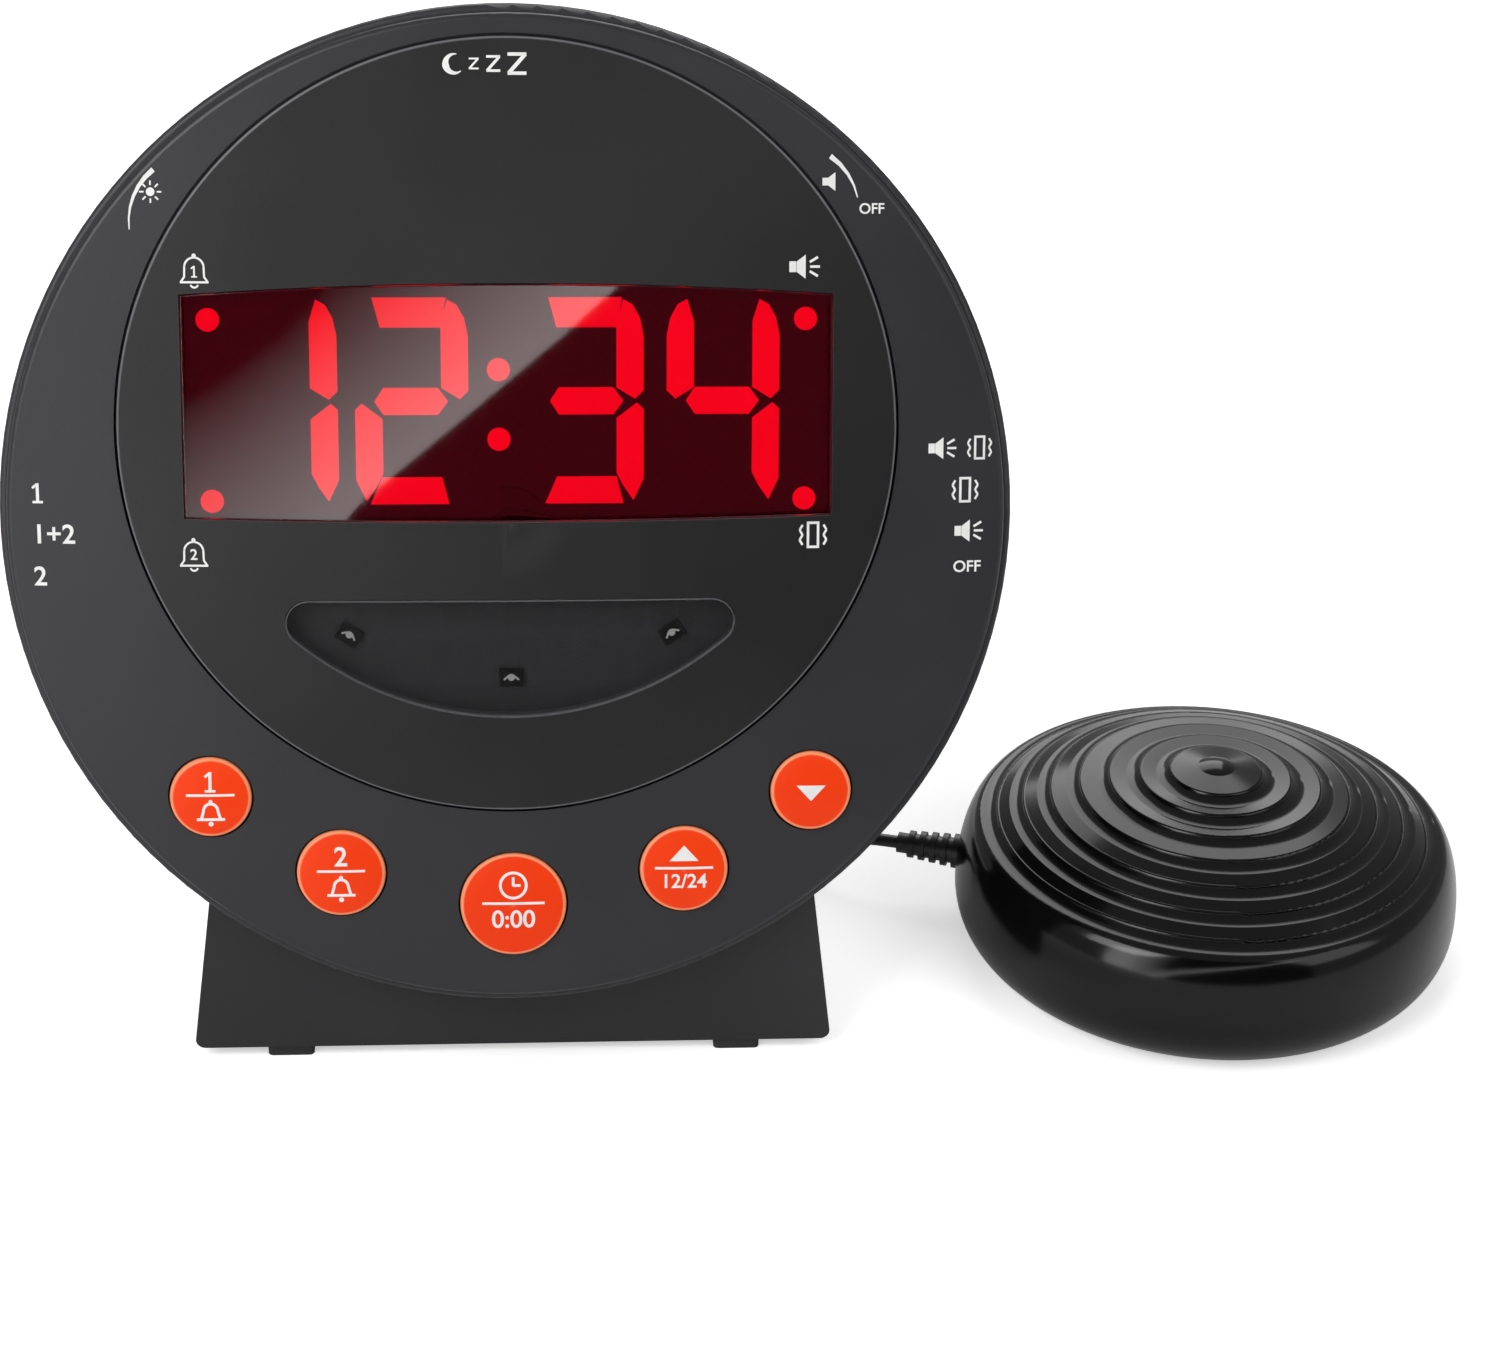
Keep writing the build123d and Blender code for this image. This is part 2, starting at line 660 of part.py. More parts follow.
def key_board():
    """A curved circuit board behind the keys."""
    board = disc(KEY_BOARD_OUTER, KEY_BOARD_Y, KEY_BOARD_Y + BOARD_T)
    board -= disc(KEY_BOARD_INNER, KEY_BOARD_Y - OVERRUN, KEY_BOARD_Y + BOARD_T + OVERRUN)
    x, z = ring_place(KEY_BOARD_ANGLE, 2 * KEY_BOARD_OUTER)
    wedge = make_face(Polyline((0, 0), (x, z), (-x, z), close=True))
    return board & along_depth(wedge, 0, KEY_BOARD_Y + BOARD_T + OVERRUN)


def back_form(grow):
    """The solid form behind the rim: a straight band and a bulging taper."""
    edge = BAND_R + grow
    back = BACK_R + grow
    middle = ((edge + back) / 2 + BACK_BULGE, (BAND_END + BACK_Y) / 2)
    front = Polyline((0, BACK_Y), (0, 0), (edge, 0), (edge, BAND_END))
    side = ThreePointArc((edge, BAND_END), middle, (back, BACK_Y))
    return revolve(make_face([*front.edges(), side, Line((back, BACK_Y), (0, BACK_Y))]), Axis.Y)


def head_form(gap):
    """The head's outer form, grown by a gap and with the room behind it: what the stand clears."""
    room = disc(BACK_R + gap, BACK_Y - OVERRUN, BACK_Y + STAND_BACK)
    return back_form(gap) + disc(RIM_R + gap, -gap, RIM_DEPTH + gap) + room


def wheel_place(side):
    """Where a thumb wheel's centre is: side -1 for the dimmer and 1 for the volume."""
    return ring_place(180 - side * WHEEL_ANGLE, BAND_R + WHEEL_PROUD - WHEEL_R)


def pot_back():
    """Depth of the back of a potentiometer."""
    return WHEEL_Y + WHEEL_T + RUN + POT_T


def switch_half(steps):
    """Half the length of a slide switch with so many steps."""
    return steps * STEP / 2 + SWITCH_END


def switch_face(height, steps):
    """How far out a slide switch's face is, when its farther end meets the round wall."""
    reach = abs(height) + switch_half(steps)
    return math.sqrt((BAND_R - WALL)**2 - reach**2) - FIT


def cover_posts():
    """Places of the posts that carry the main board."""
    return [(BACK_R * across, BACK_R * up) for across, up in COVER_POST_SHARES]


def cover_screw_places():
    """Places of the screws that hold the rear cover."""
    return [ring_place(90 + angle, COVER_SCREW_R) for angle in COVER_SCREW_ANGLES]


def main_housing():
    """The shell behind the face: rim, band with its openings, taper, bosses and brackets."""
    form = disc(RIM_R, 0, RIM_DEPTH)
    form = round_circle(form, RIM_R, 0, RIM_ROUND)
    form = round_circle(form, RIM_R, RIM_DEPTH, RIM_ROUND)
    form += back_form(0)
    form -= back_form(-WALL)
    for angle, (x, z) in zip(COVER_SCREW_ANGLES, cover_screw_places()):
        web = block(-BOSS_R / 2, BOSS_R / 2, BACK_Y - BOSS_L, BACK_Y - COVER_LIP - RUN,
                    COVER_SCREW_R, BAND_R)
        form += (Rot(0, 90 - angle, 0) * web) & back_form(-WALL / 2)
        form += disc(BOSS_R, BACK_Y - BOSS_L, BACK_Y, x, z)
        form -= disc(SCREW_R, BACK_Y - BOSS_L + WALL, BACK_Y + OVERRUN, x, z)
    for side in (-1, 1):
        x, z = wheel_place(side)
        shelf = block(-POT_SIZE / 2, POT_SIZE / 2, pot_back(), pot_back() + SHELF_T,
                      BAND_R - WHEEL_R - POT_SIZE / 2, BAND_R - WALL / 2)
        form += Rot(0, side * WHEEL_ANGLE, 0) * shelf
        form -= disc(WHEEL_R + RUN, WHEEL_Y - RUN, WHEEL_Y + WHEEL_T + RUN, x, z)
    for side, height, steps in ((-1, ALARM_Z, ALARM_STEPS), (1, MODE_Z, MODE_STEPS)):
        half_slot = steps * STEP / 2 + KNOB[0] / 2 + RUN
        half_y = KNOB[1] / 2 + RUN
        slot = block(-WALL - OVERRUN, WALL + OVERRUN, SWITCH_Y - half_y, SWITCH_Y + half_y,
                     -half_slot, half_slot)
        form -= Pos(side * BAND_R, 0, height) * slot
    half = SNOOZE_HALF + RUN
    form -= block(-half, half, SNOOZE_Y0 - RUN, SNOOZE_Y1 + RUN, SNOOZE_SWITCH_R, RIM_R)
    width, y0, y1 = SNOOZE_BOARD
    under = SNOOZE_SWITCH_R - BOARD_T
    form += block(-width / 2, width / 2, y1, y1 + BRACKET_T, under - BRACKET_T, BAND_R - WALL / 2)
    form += block(-width / 2, width / 2, y0, y1 + BRACKET_T, under - BRACKET_T, under)
    return form


def grille_rows():
    """Heights and half widths of the speaker grille's slots."""
    count = int(GRILLE_R / GRILLE_PITCH)
    heights = [(row + 1 / 2) * GRILLE_PITCH for row in range(-count, count)]
    return [(z, math.sqrt(GRILLE_R**2 - z**2)) for z in heights]


def door_block(grow, travel, front, back):
    """The battery door's rectangle, grown by a gap and lengthened upwards by a travel."""
    return block(CELL_X - DOOR_HALF - grow, CELL_X + DOOR_HALF + grow, front, back,
                 CELL_Z - DOOR_HALF - grow, CELL_Z + DOOR_HALF + grow + travel)


def rear_cover():
    """The back lid: speaker grille, coin cell pocket, socket holes, screw holes and board posts."""
    outer = BACK_Y + COVER_T
    cover = round_circle(disc(BACK_R, BACK_Y, outer), BACK_R, outer, COVER_ROUND)
    lip_r = BACK_R - WALL - FIT
    lip = disc(lip_r, BACK_Y - COVER_LIP, BACK_Y)
    cover += lip - disc(lip_r - WALL, BACK_Y - COVER_LIP - OVERRUN, BACK_Y)
    cell_back = outer - DOOR_T - CELL_T - RUN
    cover += disc(CELL_R + RUN + CELL_WALL, cell_back - CELL_WALL, BACK_Y, CELL_X, CELL_Z)
    for x, z in cover_posts():
        cover += disc(COVER_POST_R, MAIN_Y + BOARD_T, BACK_Y, x, z)
    for z, half in grille_rows():
        slot = SlotOverall(2 * half, GRILLE_SLOT)
        cover -= along_depth(Pos(0, GRILLE_Z + z) * slot, BACK_Y - OVERRUN, outer + OVERRUN)
    cover -= door_block(FIT, DOOR_TRAVEL + FIT, outer - DOOR_T - FIT, outer + OVERRUN)
    cover -= disc(CELL_R + RUN, cell_back, outer, CELL_X, CELL_Z)
    for x in (DC_X, SHAKER_JACK_X):
        cover -= disc(JACK_R + FIT, BACK_Y - OVERRUN, outer + OVERRUN, x, JACK_Z)
    for x, z in cover_screw_places():
        cover -= disc(SCREW_HEAD_R + FIT, outer - SCREW_HEAD_T - SCREW_SINK, outer + OVERRUN, x, z)
        cover -= disc(SCREW_R + FIT, BACK_Y - OVERRUN, outer, x, z)
    return cover


def battery_door():
    """The sliding door over the coin cell, with grip ribs."""
    outer = BACK_Y + COVER_T
    door = door_block(0, 0, outer - DOOR_T, outer)
    for row in range(DOOR_RIBS):
        z = CELL_Z - (row + 1) * DOOR_HALF / (DOOR_RIBS + 1)
        half = DOOR_HALF / 2
        rib = block(CELL_X - half, CELL_X + half, outer - DOOR_RIB, outer + DOOR_RIB,
                    z - DOOR_RIB, z + DOOR_RIB)
        door += rib
    return door


def backup_cell():
    """The coin cell in its pocket."""
    back = BACK_Y + COVER_T - DOOR_T - RUN - FIT
    return disc(CELL_R, back - CELL_T + FIT, back, CELL_X, CELL_Z)


def case_screws():
    """The screws of the rear cover, with a cross slot each."""
    head_back = BACK_Y + COVER_T - SCREW_SINK
    screws = []
    for x, z in cover_screw_places():
        screw = disc(SCREW_HEAD_R, head_back - SCREW_HEAD_T, head_back, x, z)
        screw += disc(SCREW_R - FIT, head_back - SCREW_L, head_back - SCREW_HEAD_T, x, z)
        half = SCREW_HEAD_R / 2
        slot = block(-half, half, head_back - SCREW_HEAD_T / 2, head_back + OVERRUN, -RUN, RUN)
        screw -= Pos(x, 0, z) * (slot + Rot(0, 90, 0) * slot)
        screws.append(screw)
    return group(screws)


def socket(x, bore, depth, pin_r=0.0):
    """A round socket in the rear cover, with its body behind the cover."""
    outer = BACK_Y + COVER_T
    jack = disc(JACK_R, BACK_Y, outer, x, JACK_Z)
    half = JACK_BODY / 2
    jack += block(x - half, x + half, outer - depth - WALL, BACK_Y - FIT, JACK_Z - half, JACK_Z + half)
    jack += disc(JACK_R, BACK_Y - FIT, BACK_Y, x, JACK_Z)
    jack -= disc(bore, outer - depth, outer + OVERRUN, x, JACK_Z)
    if pin_r:
        jack += disc(pin_r, outer - depth - WALL, outer - bore / 2, x, JACK_Z)
    return jack


def speaker_frame():
    """The loudspeaker's rim, basket and magnet, facing the grille."""
    rim_y = BACK_Y - FIT
    outline = [
        (SPEAKER_R, rim_y),
        (SPEAKER_R, rim_y - SPEAKER_RIM_T),
        (CONE_R + SPEAKER_WALL, rim_y - SPEAKER_RIM_T),
        (SPEAKER_BASKET_R, SPEAKER_BASKET_Y),
        (SPEAKER_BACK_R, SPEAKER_BASKET_Y),
        (SPEAKER_BACK_R, SPEAKER_BACK_Y),
        (0, SPEAKER_BACK_Y),
        (0, SPEAKER_BASKET_Y + SPEAKER_WALL),
        (SPEAKER_BASKET_R - SPEAKER_WALL, SPEAKER_BASKET_Y + SPEAKER_WALL),
        (CONE_R, rim_y - SPEAKER_RIM_T),
        (CONE_R, rim_y),
    ]
    return Pos(0, 0, GRILLE_Z) * turned(outline)


def speaker_cone():
    """The paper cone with its dust cap."""
    rim_y = BACK_Y - FIT - SPEAKER_RIM_T / 2
    low = rim_y - CONE_DEPTH
    outline = [(CONE_R, rim_y), (CONE_R, rim_y - CONE_T), (CONE_CAP_R, low - CONE_T), (0, low - CONE_T),
               (0, low + CONE_CAP_R / 3), (CONE_CAP_R, low)]
    return Pos(0, 0, GRILLE_Z) * turned(outline)


def main_board():
    """The main circuit board on the rear cover's posts, with a chip and two capacitors."""
    board = block(-MAIN_HALF, MAIN_HALF, MAIN_Y, MAIN_Y + BOARD_T, MAIN_Z0, MAIN_Z1)
    width, depth, height = CHIP_BOX
    board += block(-width / 2, width / 2, MAIN_Y - depth, MAIN_Y, -height / 2, height / 2)
    for side in (-1, 1):
        x = side * MAIN_HALF / 2
        board += disc(CAPACITOR_R, MAIN_Y - CAPACITOR_L, MAIN_Y, x, MAIN_Z0 + 2 * CAPACITOR_R)
    return board


def snooze_bar():
    """The snooze bar on top of the band: cap, keeping lip and the stem over its switch."""
    top = BAND_R + SNOOZE_PROUD
    low = BAND_R - WALL - RUN - SNOOZE_LIP_T
    cap = disc(top, SNOOZE_Y0, SNOOZE_Y1)
    cap = round_circle(cap, top, SNOOZE_Y0, SNOOZE_WALL / 2)
    cap = round_circle(cap, top, SNOOZE_Y1, SNOOZE_WALL / 2)
    cap &= block(-SNOOZE_HALF, SNOOZE_HALF, SNOOZE_Y0, SNOOZE_Y1, 0, RIM_R)
    hollow = SNOOZE_HALF - SNOOZE_WALL
    lip = disc(low + SNOOZE_LIP_T, SNOOZE_Y0 - SNOOZE_LIP, SNOOZE_Y1 + SNOOZE_LIP)
    wide = SNOOZE_HALF + SNOOZE_LIP
    lip &= block(-wide, wide, SNOOZE_Y0 - SNOOZE_LIP, SNOOZE_Y1 + SNOOZE_LIP, 0, RIM_R)
    bar = (cap + lip) - disc(low, SNOOZE_Y0 - SNOOZE_LIP - OVERRUN, SNOOZE_Y1 + SNOOZE_LIP + OVERRUN)
    room = disc(top - SNOOZE_WALL, SNOOZE_Y0 + SNOOZE_WALL, SNOOZE_Y1 - SNOOZE_WALL)
    bar -= room & block(-hollow, hollow, SNOOZE_Y0, SNOOZE_Y1, 0, RIM_R)
    middle = (SNOOZE_Y0 + SNOOZE_Y1) / 2
    stem_foot = SNOOZE_SWITCH_R + TACT_H + TACT_PROUD
    return bar + post(SNOOZE_STEM_R, stem_foot, top - SNOOZE_WALL / 2, 0, middle)


def upright(shape):
    """Stand a switch piece, which faces -y, on the snooze board so that it faces up."""
    middle = (SNOOZE_Y0 + SNOOZE_Y1) / 2
    return Pos(0, middle, SNOOZE_SWITCH_R) * Rot(-90, 0, 0) * shape


def snooze_board():
    """The small board under the snooze bar, held by its bracket."""
    width, y0, y1 = SNOOZE_BOARD
    return block(-width / 2, width / 2, y0, y1, SNOOZE_SWITCH_R - BOARD_T, SNOOZE_SWITCH_R)


def thumb_wheel(side):
    """A notched thumb wheel with its shaft."""
    wheel = disc(WHEEL_R, WHEEL_Y, WHEEL_Y + WHEEL_T)
    for notch in range(WHEEL_NOTCHES):
        x, z = ring_place(notch * 360 / WHEEL_NOTCHES, WHEEL_R)
        wheel -= disc(WHEEL_NOTCH_R, WHEEL_Y - OVERRUN, WHEEL_Y + WHEEL_T + OVERRUN, x, z)
    wheel += disc(SHAFT_R, WHEEL_Y, WHEEL_Y + WHEEL_T + SHAFT_IN)
    x, z = wheel_place(side)
    return Pos(x, 0, z) * wheel


def pot(side):
    """The potentiometer that carries a thumb wheel."""
    x, z = wheel_place(side)
    half = POT_SIZE / 2
    body = block(-half, half, pot_back() - POT_T, pot_back(), -half, half)
    body -= disc(SHAFT_R + SHAFT_FIT, 0, WHEEL_Y + WHEEL_T + SHAFT_IN + RUN)
    return Pos(x, 0, z) * Rot(0, side * WHEEL_ANGLE, 0) * body


def slide_switch(side, height, steps):
    """The body of a slide switch inside the band."""
    face = switch_face(height, steps)
    half = switch_half(steps)
    body = block(face - SWITCH_DEPTH, face, SWITCH_Y - SWITCH_W / 2, SWITCH_Y + SWITCH_W / 2, -half, half)
    half_slot = steps * STEP / 2 + KNOB[0] / 2 + RUN
    half_y = KNOB[1] / 2 + RUN
    body -= block(face - SWITCH_SLOT_DEPTH, face + OVERRUN, SWITCH_Y - half_y, SWITCH_Y + half_y,
                  -half_slot, half_slot)
    if side < 0:
        body = mirror(body, Plane.YZ)
    return Pos(0, 0, height) * body


def slide_knob(side, height, steps, at):
    """The knob of a slide switch; at is its rest place, counted from the middle."""
    face = switch_face(height, steps)
    inner = face - KNOB_DEPTH
    cap_x = BAND_R + RUN
    half_z, half_y = KNOB[0] / 2, KNOB[1] / 2
    knob = block(inner, cap_x, SWITCH_Y - half_y, SWITCH_Y + half_y, -half_z, half_z)
    cap_z, cap_y = KNOB_CAP[0] / 2, KNOB_CAP[1] / 2
    cap = block(cap_x, cap_x + KNOB_PROUD, SWITCH_Y - cap_y, SWITCH_Y + cap_y, -cap_z, cap_z)
    knob += fillet(cap.faces().sort_by(Axis.X)[-1].edges(), KNOB_PROUD / 4)
    if side < 0:
        knob = mirror(knob, Plane.YZ)
    return Pos(0, 0, height + at) * knob


def stand_form(inset):
    """The wedge under the head: a leaning front, a narrower back and a low heel."""
    bottom = FOOT_H - (OVERRUN if inset else 0)
    heel_y = STAND_HEEL_Y
    side = [
        (STAND_FRONT + inset, bottom),
        (STAND_FRONT + inset, STAND_TOP),
        (heel_y - inset, STAND_TOP),
        (heel_y - inset, STAND_HEEL_TOP - inset),
        (STAND_BACK - inset, STAND_BACK_TOP - inset),
        (STAND_BACK - inset, bottom),
    ]
    span = 2 * STAND_HALF
    side_face = make_face(Polyline(*[(0, y, z) for y, z in side], close=True))
    form = extrude(side_face, span / 2, dir=(1, 0, 0), both=True)
    low = STAND_HALF - inset
    high = low - STAND_LEAN * (STAND_TOP - FOOT_H)
    front = [(-low, bottom), (low, bottom), (high, STAND_TOP), (-high, STAND_TOP)]
    front_face = make_face(Polyline(*front, close=True))
    if not inset:
        front_face = fillet(front_face.vertices().group_by(Axis.Y)[0], STAND_ROUND)
    form &= along_depth(front_face, STAND_FRONT, STAND_BACK)
    back = STAND_BACK_HALF - inset
    plan = [(-low, STAND_FRONT), (low, STAND_FRONT), (back, STAND_BACK), (-back, STAND_BACK)]
    form &= extrude(make_face(Polyline(*plan, close=True)), STAND_TOP)
    return form


def stand_posts():
    """Places of the posts that take the base plate's screws."""
    front_y = STAND_FRONT + STAND_WALL + POST_R - POST_SINK
    back_y = STAND_BACK - STAND_WALL - POST_R - FOOT_INSET
    front_x = FOOT_X - FOOT[0] / 2 - 2 * POST_R
    back_x = FOOT_BACK_X - FOOT[0] / 2 - 2 * POST_R
    return [(side * x, y) for x, y in ((front_x, front_y), (back_x, back_y)) for side in (-1, 1)]


def plate_bottom():
    """Height of the base plate's underside."""
    return FOOT_H + PLATE_SINK


def stand():
    """The hollow stand with its saddle and four screw posts."""
    form = stand_form(0)
    inside = stand_form(STAND_WALL) - HEAD * head_form(SADDLE_GAP + STAND_WALL)
    for x, y in stand_posts():
        inside -= post(POST_R, plate_bottom() + PLATE_T, STAND_TOP, x, y)
    body = form - HEAD * head_form(SADDLE_GAP) - inside
    for x, y in stand_posts():
        body -= post(SCREW_R, 0, plate_bottom() + SCREW_L, x, y)
    return body


def foot_places():
    """Centres of the four feet."""
    front_y = STAND_FRONT + FOOT_EDGE + FOOT[1] / 2
    back_y = STAND_BACK - STAND_WALL - FOOT_INSET - FOOT[1] / 2
    return [(side * x, y) for x, y in ((FOOT_X, front_y), (FOOT_BACK_X, back_y)) for side in (-1, 1)]


def foot_peg():
    """The peg on a foot that holds it in the base plate."""
    return block(-FOOT_PEG[0] / 2, FOOT_PEG[0] / 2, -FOOT_PEG[1] / 2, FOOT_PEG[1] / 2,
                 FOOT_H, plate_bottom() + FOOT_SINK)


def base_plate():
    """The plate that closes the stand from below, with pockets for the feet."""
    low = plate_bottom()
    plate = stand_form(STAND_WALL + FIT) & block(-STAND_HALF, STAND_HALF, STAND_FRONT, STAND_BACK,
                                                 low, low + PLATE_T)
    for x, y in foot_places():
        plate -= Pos(x, y, 0) * foot_peg()
    for x, y in stand_posts():
        plate -= post(SCREW_R + FIT, low - OVERRUN, low + PLATE_T + OVERRUN, x, y)
    return plate


def rubber_feet():
    """Four rubber pads under the base plate, each with its peg."""
    pads = []
    for x, y in foot_places():
        pad = block(-FOOT[0] / 2, FOOT[0] / 2, -FOOT[1] / 2, FOOT[1] / 2, 0, FOOT_H)
        pad = fillet(pad.edges().filter_by(Axis.Z), FOOT_SINK)
        pads.append(Pos(x, y, 0) * (pad + foot_peg()))
    return group(pads)


def floor_screw(x, y, head_low, length):
    """A screw that points up, with its head at the bottom."""
    screw = post(SCREW_HEAD_R, head_low, head_low + SCREW_HEAD_T, x, y)
    screw += post(SCREW_R - FIT, head_low + SCREW_HEAD_T, head_low + length, x, y)
    half = SCREW_HEAD_R / 2
    slot = block(-half, half, -RUN, RUN, head_low - OVERRUN, head_low + SCREW_HEAD_T / 2)
    return screw - Pos(x, y, 0) * (slot + Rot(0, 0, 90) * slot)


def stand_screws():
    """The screws through the base plate."""
    low = plate_bottom() - SCREW_HEAD_T
    return group([floor_screw(x, y, low, SCREW_L) for x, y in stand_posts()])


def ring_heights():
    """Height of each terrace's edge on the puck's top."""
    return [PUCK_H - PUCK_FALL * share for share in PUCK_FALL_SHARES]


def puck_turned(edges):
    """Revolve an outline drawn as (radius, height) about the puck's upright axis."""
    face = Plane.XZ * make_face(edges)
    return Pos(PUCK_X, PUCK_Y, 0) * revolve(face, Axis.Z)


def terraces():
    """The puck's top in section: a button, then round-edged terraces with a cove outside each."""
    top = PUCK_H
    start = (PUCK_DOT_R, top)
    button = ThreePointArc((0, top + PUCK_DOT_RISE), (PUCK_DOT_R / 2, top + PUCK_DOT_RISE * 3 / 4), start)
    edges = [button]
    for radius, height in zip(PUCK_RINGS, ring_heights()):
        crest = (radius - PUCK_STEP, height)
        foot = (radius, height - PUCK_STEP)
        edges.append(Line(start, crest))
        cut = PUCK_STEP * (1 - math.sqrt(1 / 2))
        edges.append(ThreePointArc(crest, (radius - cut, height - cut), foot))
        start = (radius + PUCK_COVE_W, height - PUCK_COVE_H)
        hollow = (radius + PUCK_COVE_SHARE * PUCK_COVE_W,
                  height - PUCK_STEP - (1 - PUCK_COVE_SHARE) * (PUCK_COVE_H - PUCK_STEP))
        edges.append(ThreePointArc(foot, hollow, start))
    return edges, start


def shaker_top():
    """The puck's domed cover with its terraces and fat round rim."""
    edges, (ring_r, ring_z) = terraces()
    rim = EllipticalCenterArc((ring_r, PUCK_WIDEST), PUCK_R - ring_r, ring_z - PUCK_WIDEST, start_angle=0,
                              arc_size=QUARTER_ANGLE)
    inner_r = PUCK_R - PUCK_WALL
    low = ring_z - PUCK_WALL
    inner = EllipticalCenterArc((ring_r, PUCK_WIDEST), inner_r - ring_r, low - PUCK_WIDEST, start_angle=0,
                                arc_size=QUARTER_ANGLE)
    roof = PUCK_H - PUCK_WALL - PUCK_COVE_H / 2
    closing = [
        Line((PUCK_R, PUCK_WIDEST), (inner_r, PUCK_WIDEST)),
        inner,
        Line((ring_r, low), (PUCK_RINGS[0], roof)),
        Line((PUCK_RINGS[0], roof), (0, roof)),
        Line((0, roof), (0, PUCK_H + PUCK_DOT_RISE)),
    ]
    cover = puck_turned([*edges, rim, *closing])
    for x, y in puck_posts():
        cover += post(PUCK_POST_R, PUCK_SCREW_L + PUCK_FLOOR, ring_heights()[-2], x, y)
        cover -= post(SCREW_R, 0, PUCK_FLOOR + PUCK_SCREW_L + 2 * WALL, x, y)
    return cover - relief_hole()


def puck_posts():
    """Places of the three screw posts inside the puck."""
    places = []
    for turn in PUCK_POST_ANGLES:
        angle = math.radians(turn)
        places.append((PUCK_X + PUCK_POST_RING * math.cos(angle), PUCK_Y + PUCK_POST_RING * math.sin(angle)))
    return places


def shaker_base():
    """The puck's dish: floor, motor cradle, screw posts and the lip inside the cover."""
    inner_r = PUCK_R - PUCK_WALL
    inner_floor = PUCK_FLOOR + PUCK_FLOOR_T
    outer = EllipticalCenterArc((PUCK_FLOOR_R, PUCK_WIDEST), PUCK_R - PUCK_FLOOR_R, PUCK_WIDEST - PUCK_FLOOR,
                                start_angle=-QUARTER_ANGLE, arc_size=QUARTER_ANGLE)
    hollow = EllipticalCenterArc((PUCK_FLOOR_R, PUCK_WIDEST), inner_r - PUCK_FLOOR_R,
                                 PUCK_WIDEST - inner_floor, start_angle=-QUARTER_ANGLE,
                                 arc_size=QUARTER_ANGLE)
    edges = [
        Line((0, PUCK_FLOOR), (PUCK_FLOOR_R, PUCK_FLOOR)),
        outer,
        Line((PUCK_R, PUCK_WIDEST), (inner_r, PUCK_WIDEST)),
        hollow,
        Line((PUCK_FLOOR_R, inner_floor), (0, inner_floor)),
        Line((0, inner_floor), (0, PUCK_FLOOR)),
    ]
    dish = puck_turned(edges)
    centre = Pos(PUCK_X, PUCK_Y, 0)
    groove = post(PUCK_FOOT_R + FIT, 0, PUCK_FOOT_T) - post(PUCK_FOOT_R - PUCK_FOOT_W - FIT, 0, PUCK_FOOT_T)
    dish -= centre * groove
    near = MOTOR_END + WALL
    cradle = block(near, near + MOTOR_L - 2 * WALL, -MOTOR_R, MOTOR_R, inner_floor - FIT, MOTOR_Z)
    cradle -= block(MOTOR_END + 2 * WALL, MOTOR_END + MOTOR_L - 2 * WALL, -PUCK_R, PUCK_R, 0, PUCK_H)
    motor_room = Pos(0, 0, MOTOR_Z) * Rot(0, 90, 0) * Cylinder(MOTOR_R + FIT, 2 * PUCK_R)
    dish += centre * (cradle - motor_room)
    for side in (-1, 1):
        x, y = clamp_screw(side)
        dish += post(PUCK_POST_R, inner_floor - FIT, MOTOR_Z - CLAMP_T, x, y)
        dish -= post(SCREW_R, inner_floor + WALL, MOTOR_Z, x, y)
    for x, y in puck_posts():
        dish += post(PUCK_POST_R, inner_floor - FIT, PUCK_SCREW_L + PUCK_FLOOR, x, y)
        dish -= post(SCREW_HEAD_R + FIT, 0, PUCK_FLOOR + SCREW_HEAD_T + SCREW_SINK, x, y)
        dish -= post(SCREW_R + FIT, 0, PUCK_H, x, y)
    return dish - relief_hole()


def clamp_screw(side):
    """Place of a motor clamp's screw."""
    x = PUCK_X + MOTOR_END + MOTOR_L / 2
    return x, PUCK_Y + side * (MOTOR_R + CLAMP_T + SCREW_HEAD_R + FIT)


def motor_form(radius, start, end):
    """A cylinder on the motor's axis between two places along x."""
    return Pos(PUCK_X + (start + end) / 2, PUCK_Y, MOTOR_Z) * Rot(0, 90, 0) * Cylinder(radius, end - start)


def shaker_motor():
    """The motor's can, with the bearing bore that its shaft runs in."""
    end = MOTOR_END + MOTOR_L
    can = motor_form(MOTOR_R, MOTOR_END, end)
    can = chamfer(can.edges().filter_by(GeomType.CIRCLE), MOTOR_R / 10)
    can += motor_form(MOTOR_R / 2.5, end - OVERRUN, end + WEIGHT_GAP / 2)
    return can - motor_form(MOTOR_SHAFT_R + SHAFT_FIT, end - MOTOR_L / 2, end + MOTOR_L)


def motor_shaft():
    """The motor's shaft."""
    end = MOTOR_END + MOTOR_L
    return motor_form(MOTOR_SHAFT_R, end - MOTOR_L / 2 + RUN, end + MOTOR_SHAFT_L)


def eccentric_weight():
    """The half-round weight that shakes the puck as it turns."""
    start = MOTOR_END + MOTOR_L + WEIGHT_GAP
    weight = motor_form(WEIGHT_R, start, start + WEIGHT_T)
    weight -= Pos(PUCK_X, PUCK_Y, MOTOR_Z) * block(0, PUCK_R, -PUCK_R, PUCK_R, 0, PUCK_H)
    weight += motor_form(WEIGHT_HUB_R, start, start + WEIGHT_T)
    return weight - motor_form(MOTOR_SHAFT_R, start - OVERRUN, start + WEIGHT_T + OVERRUN)


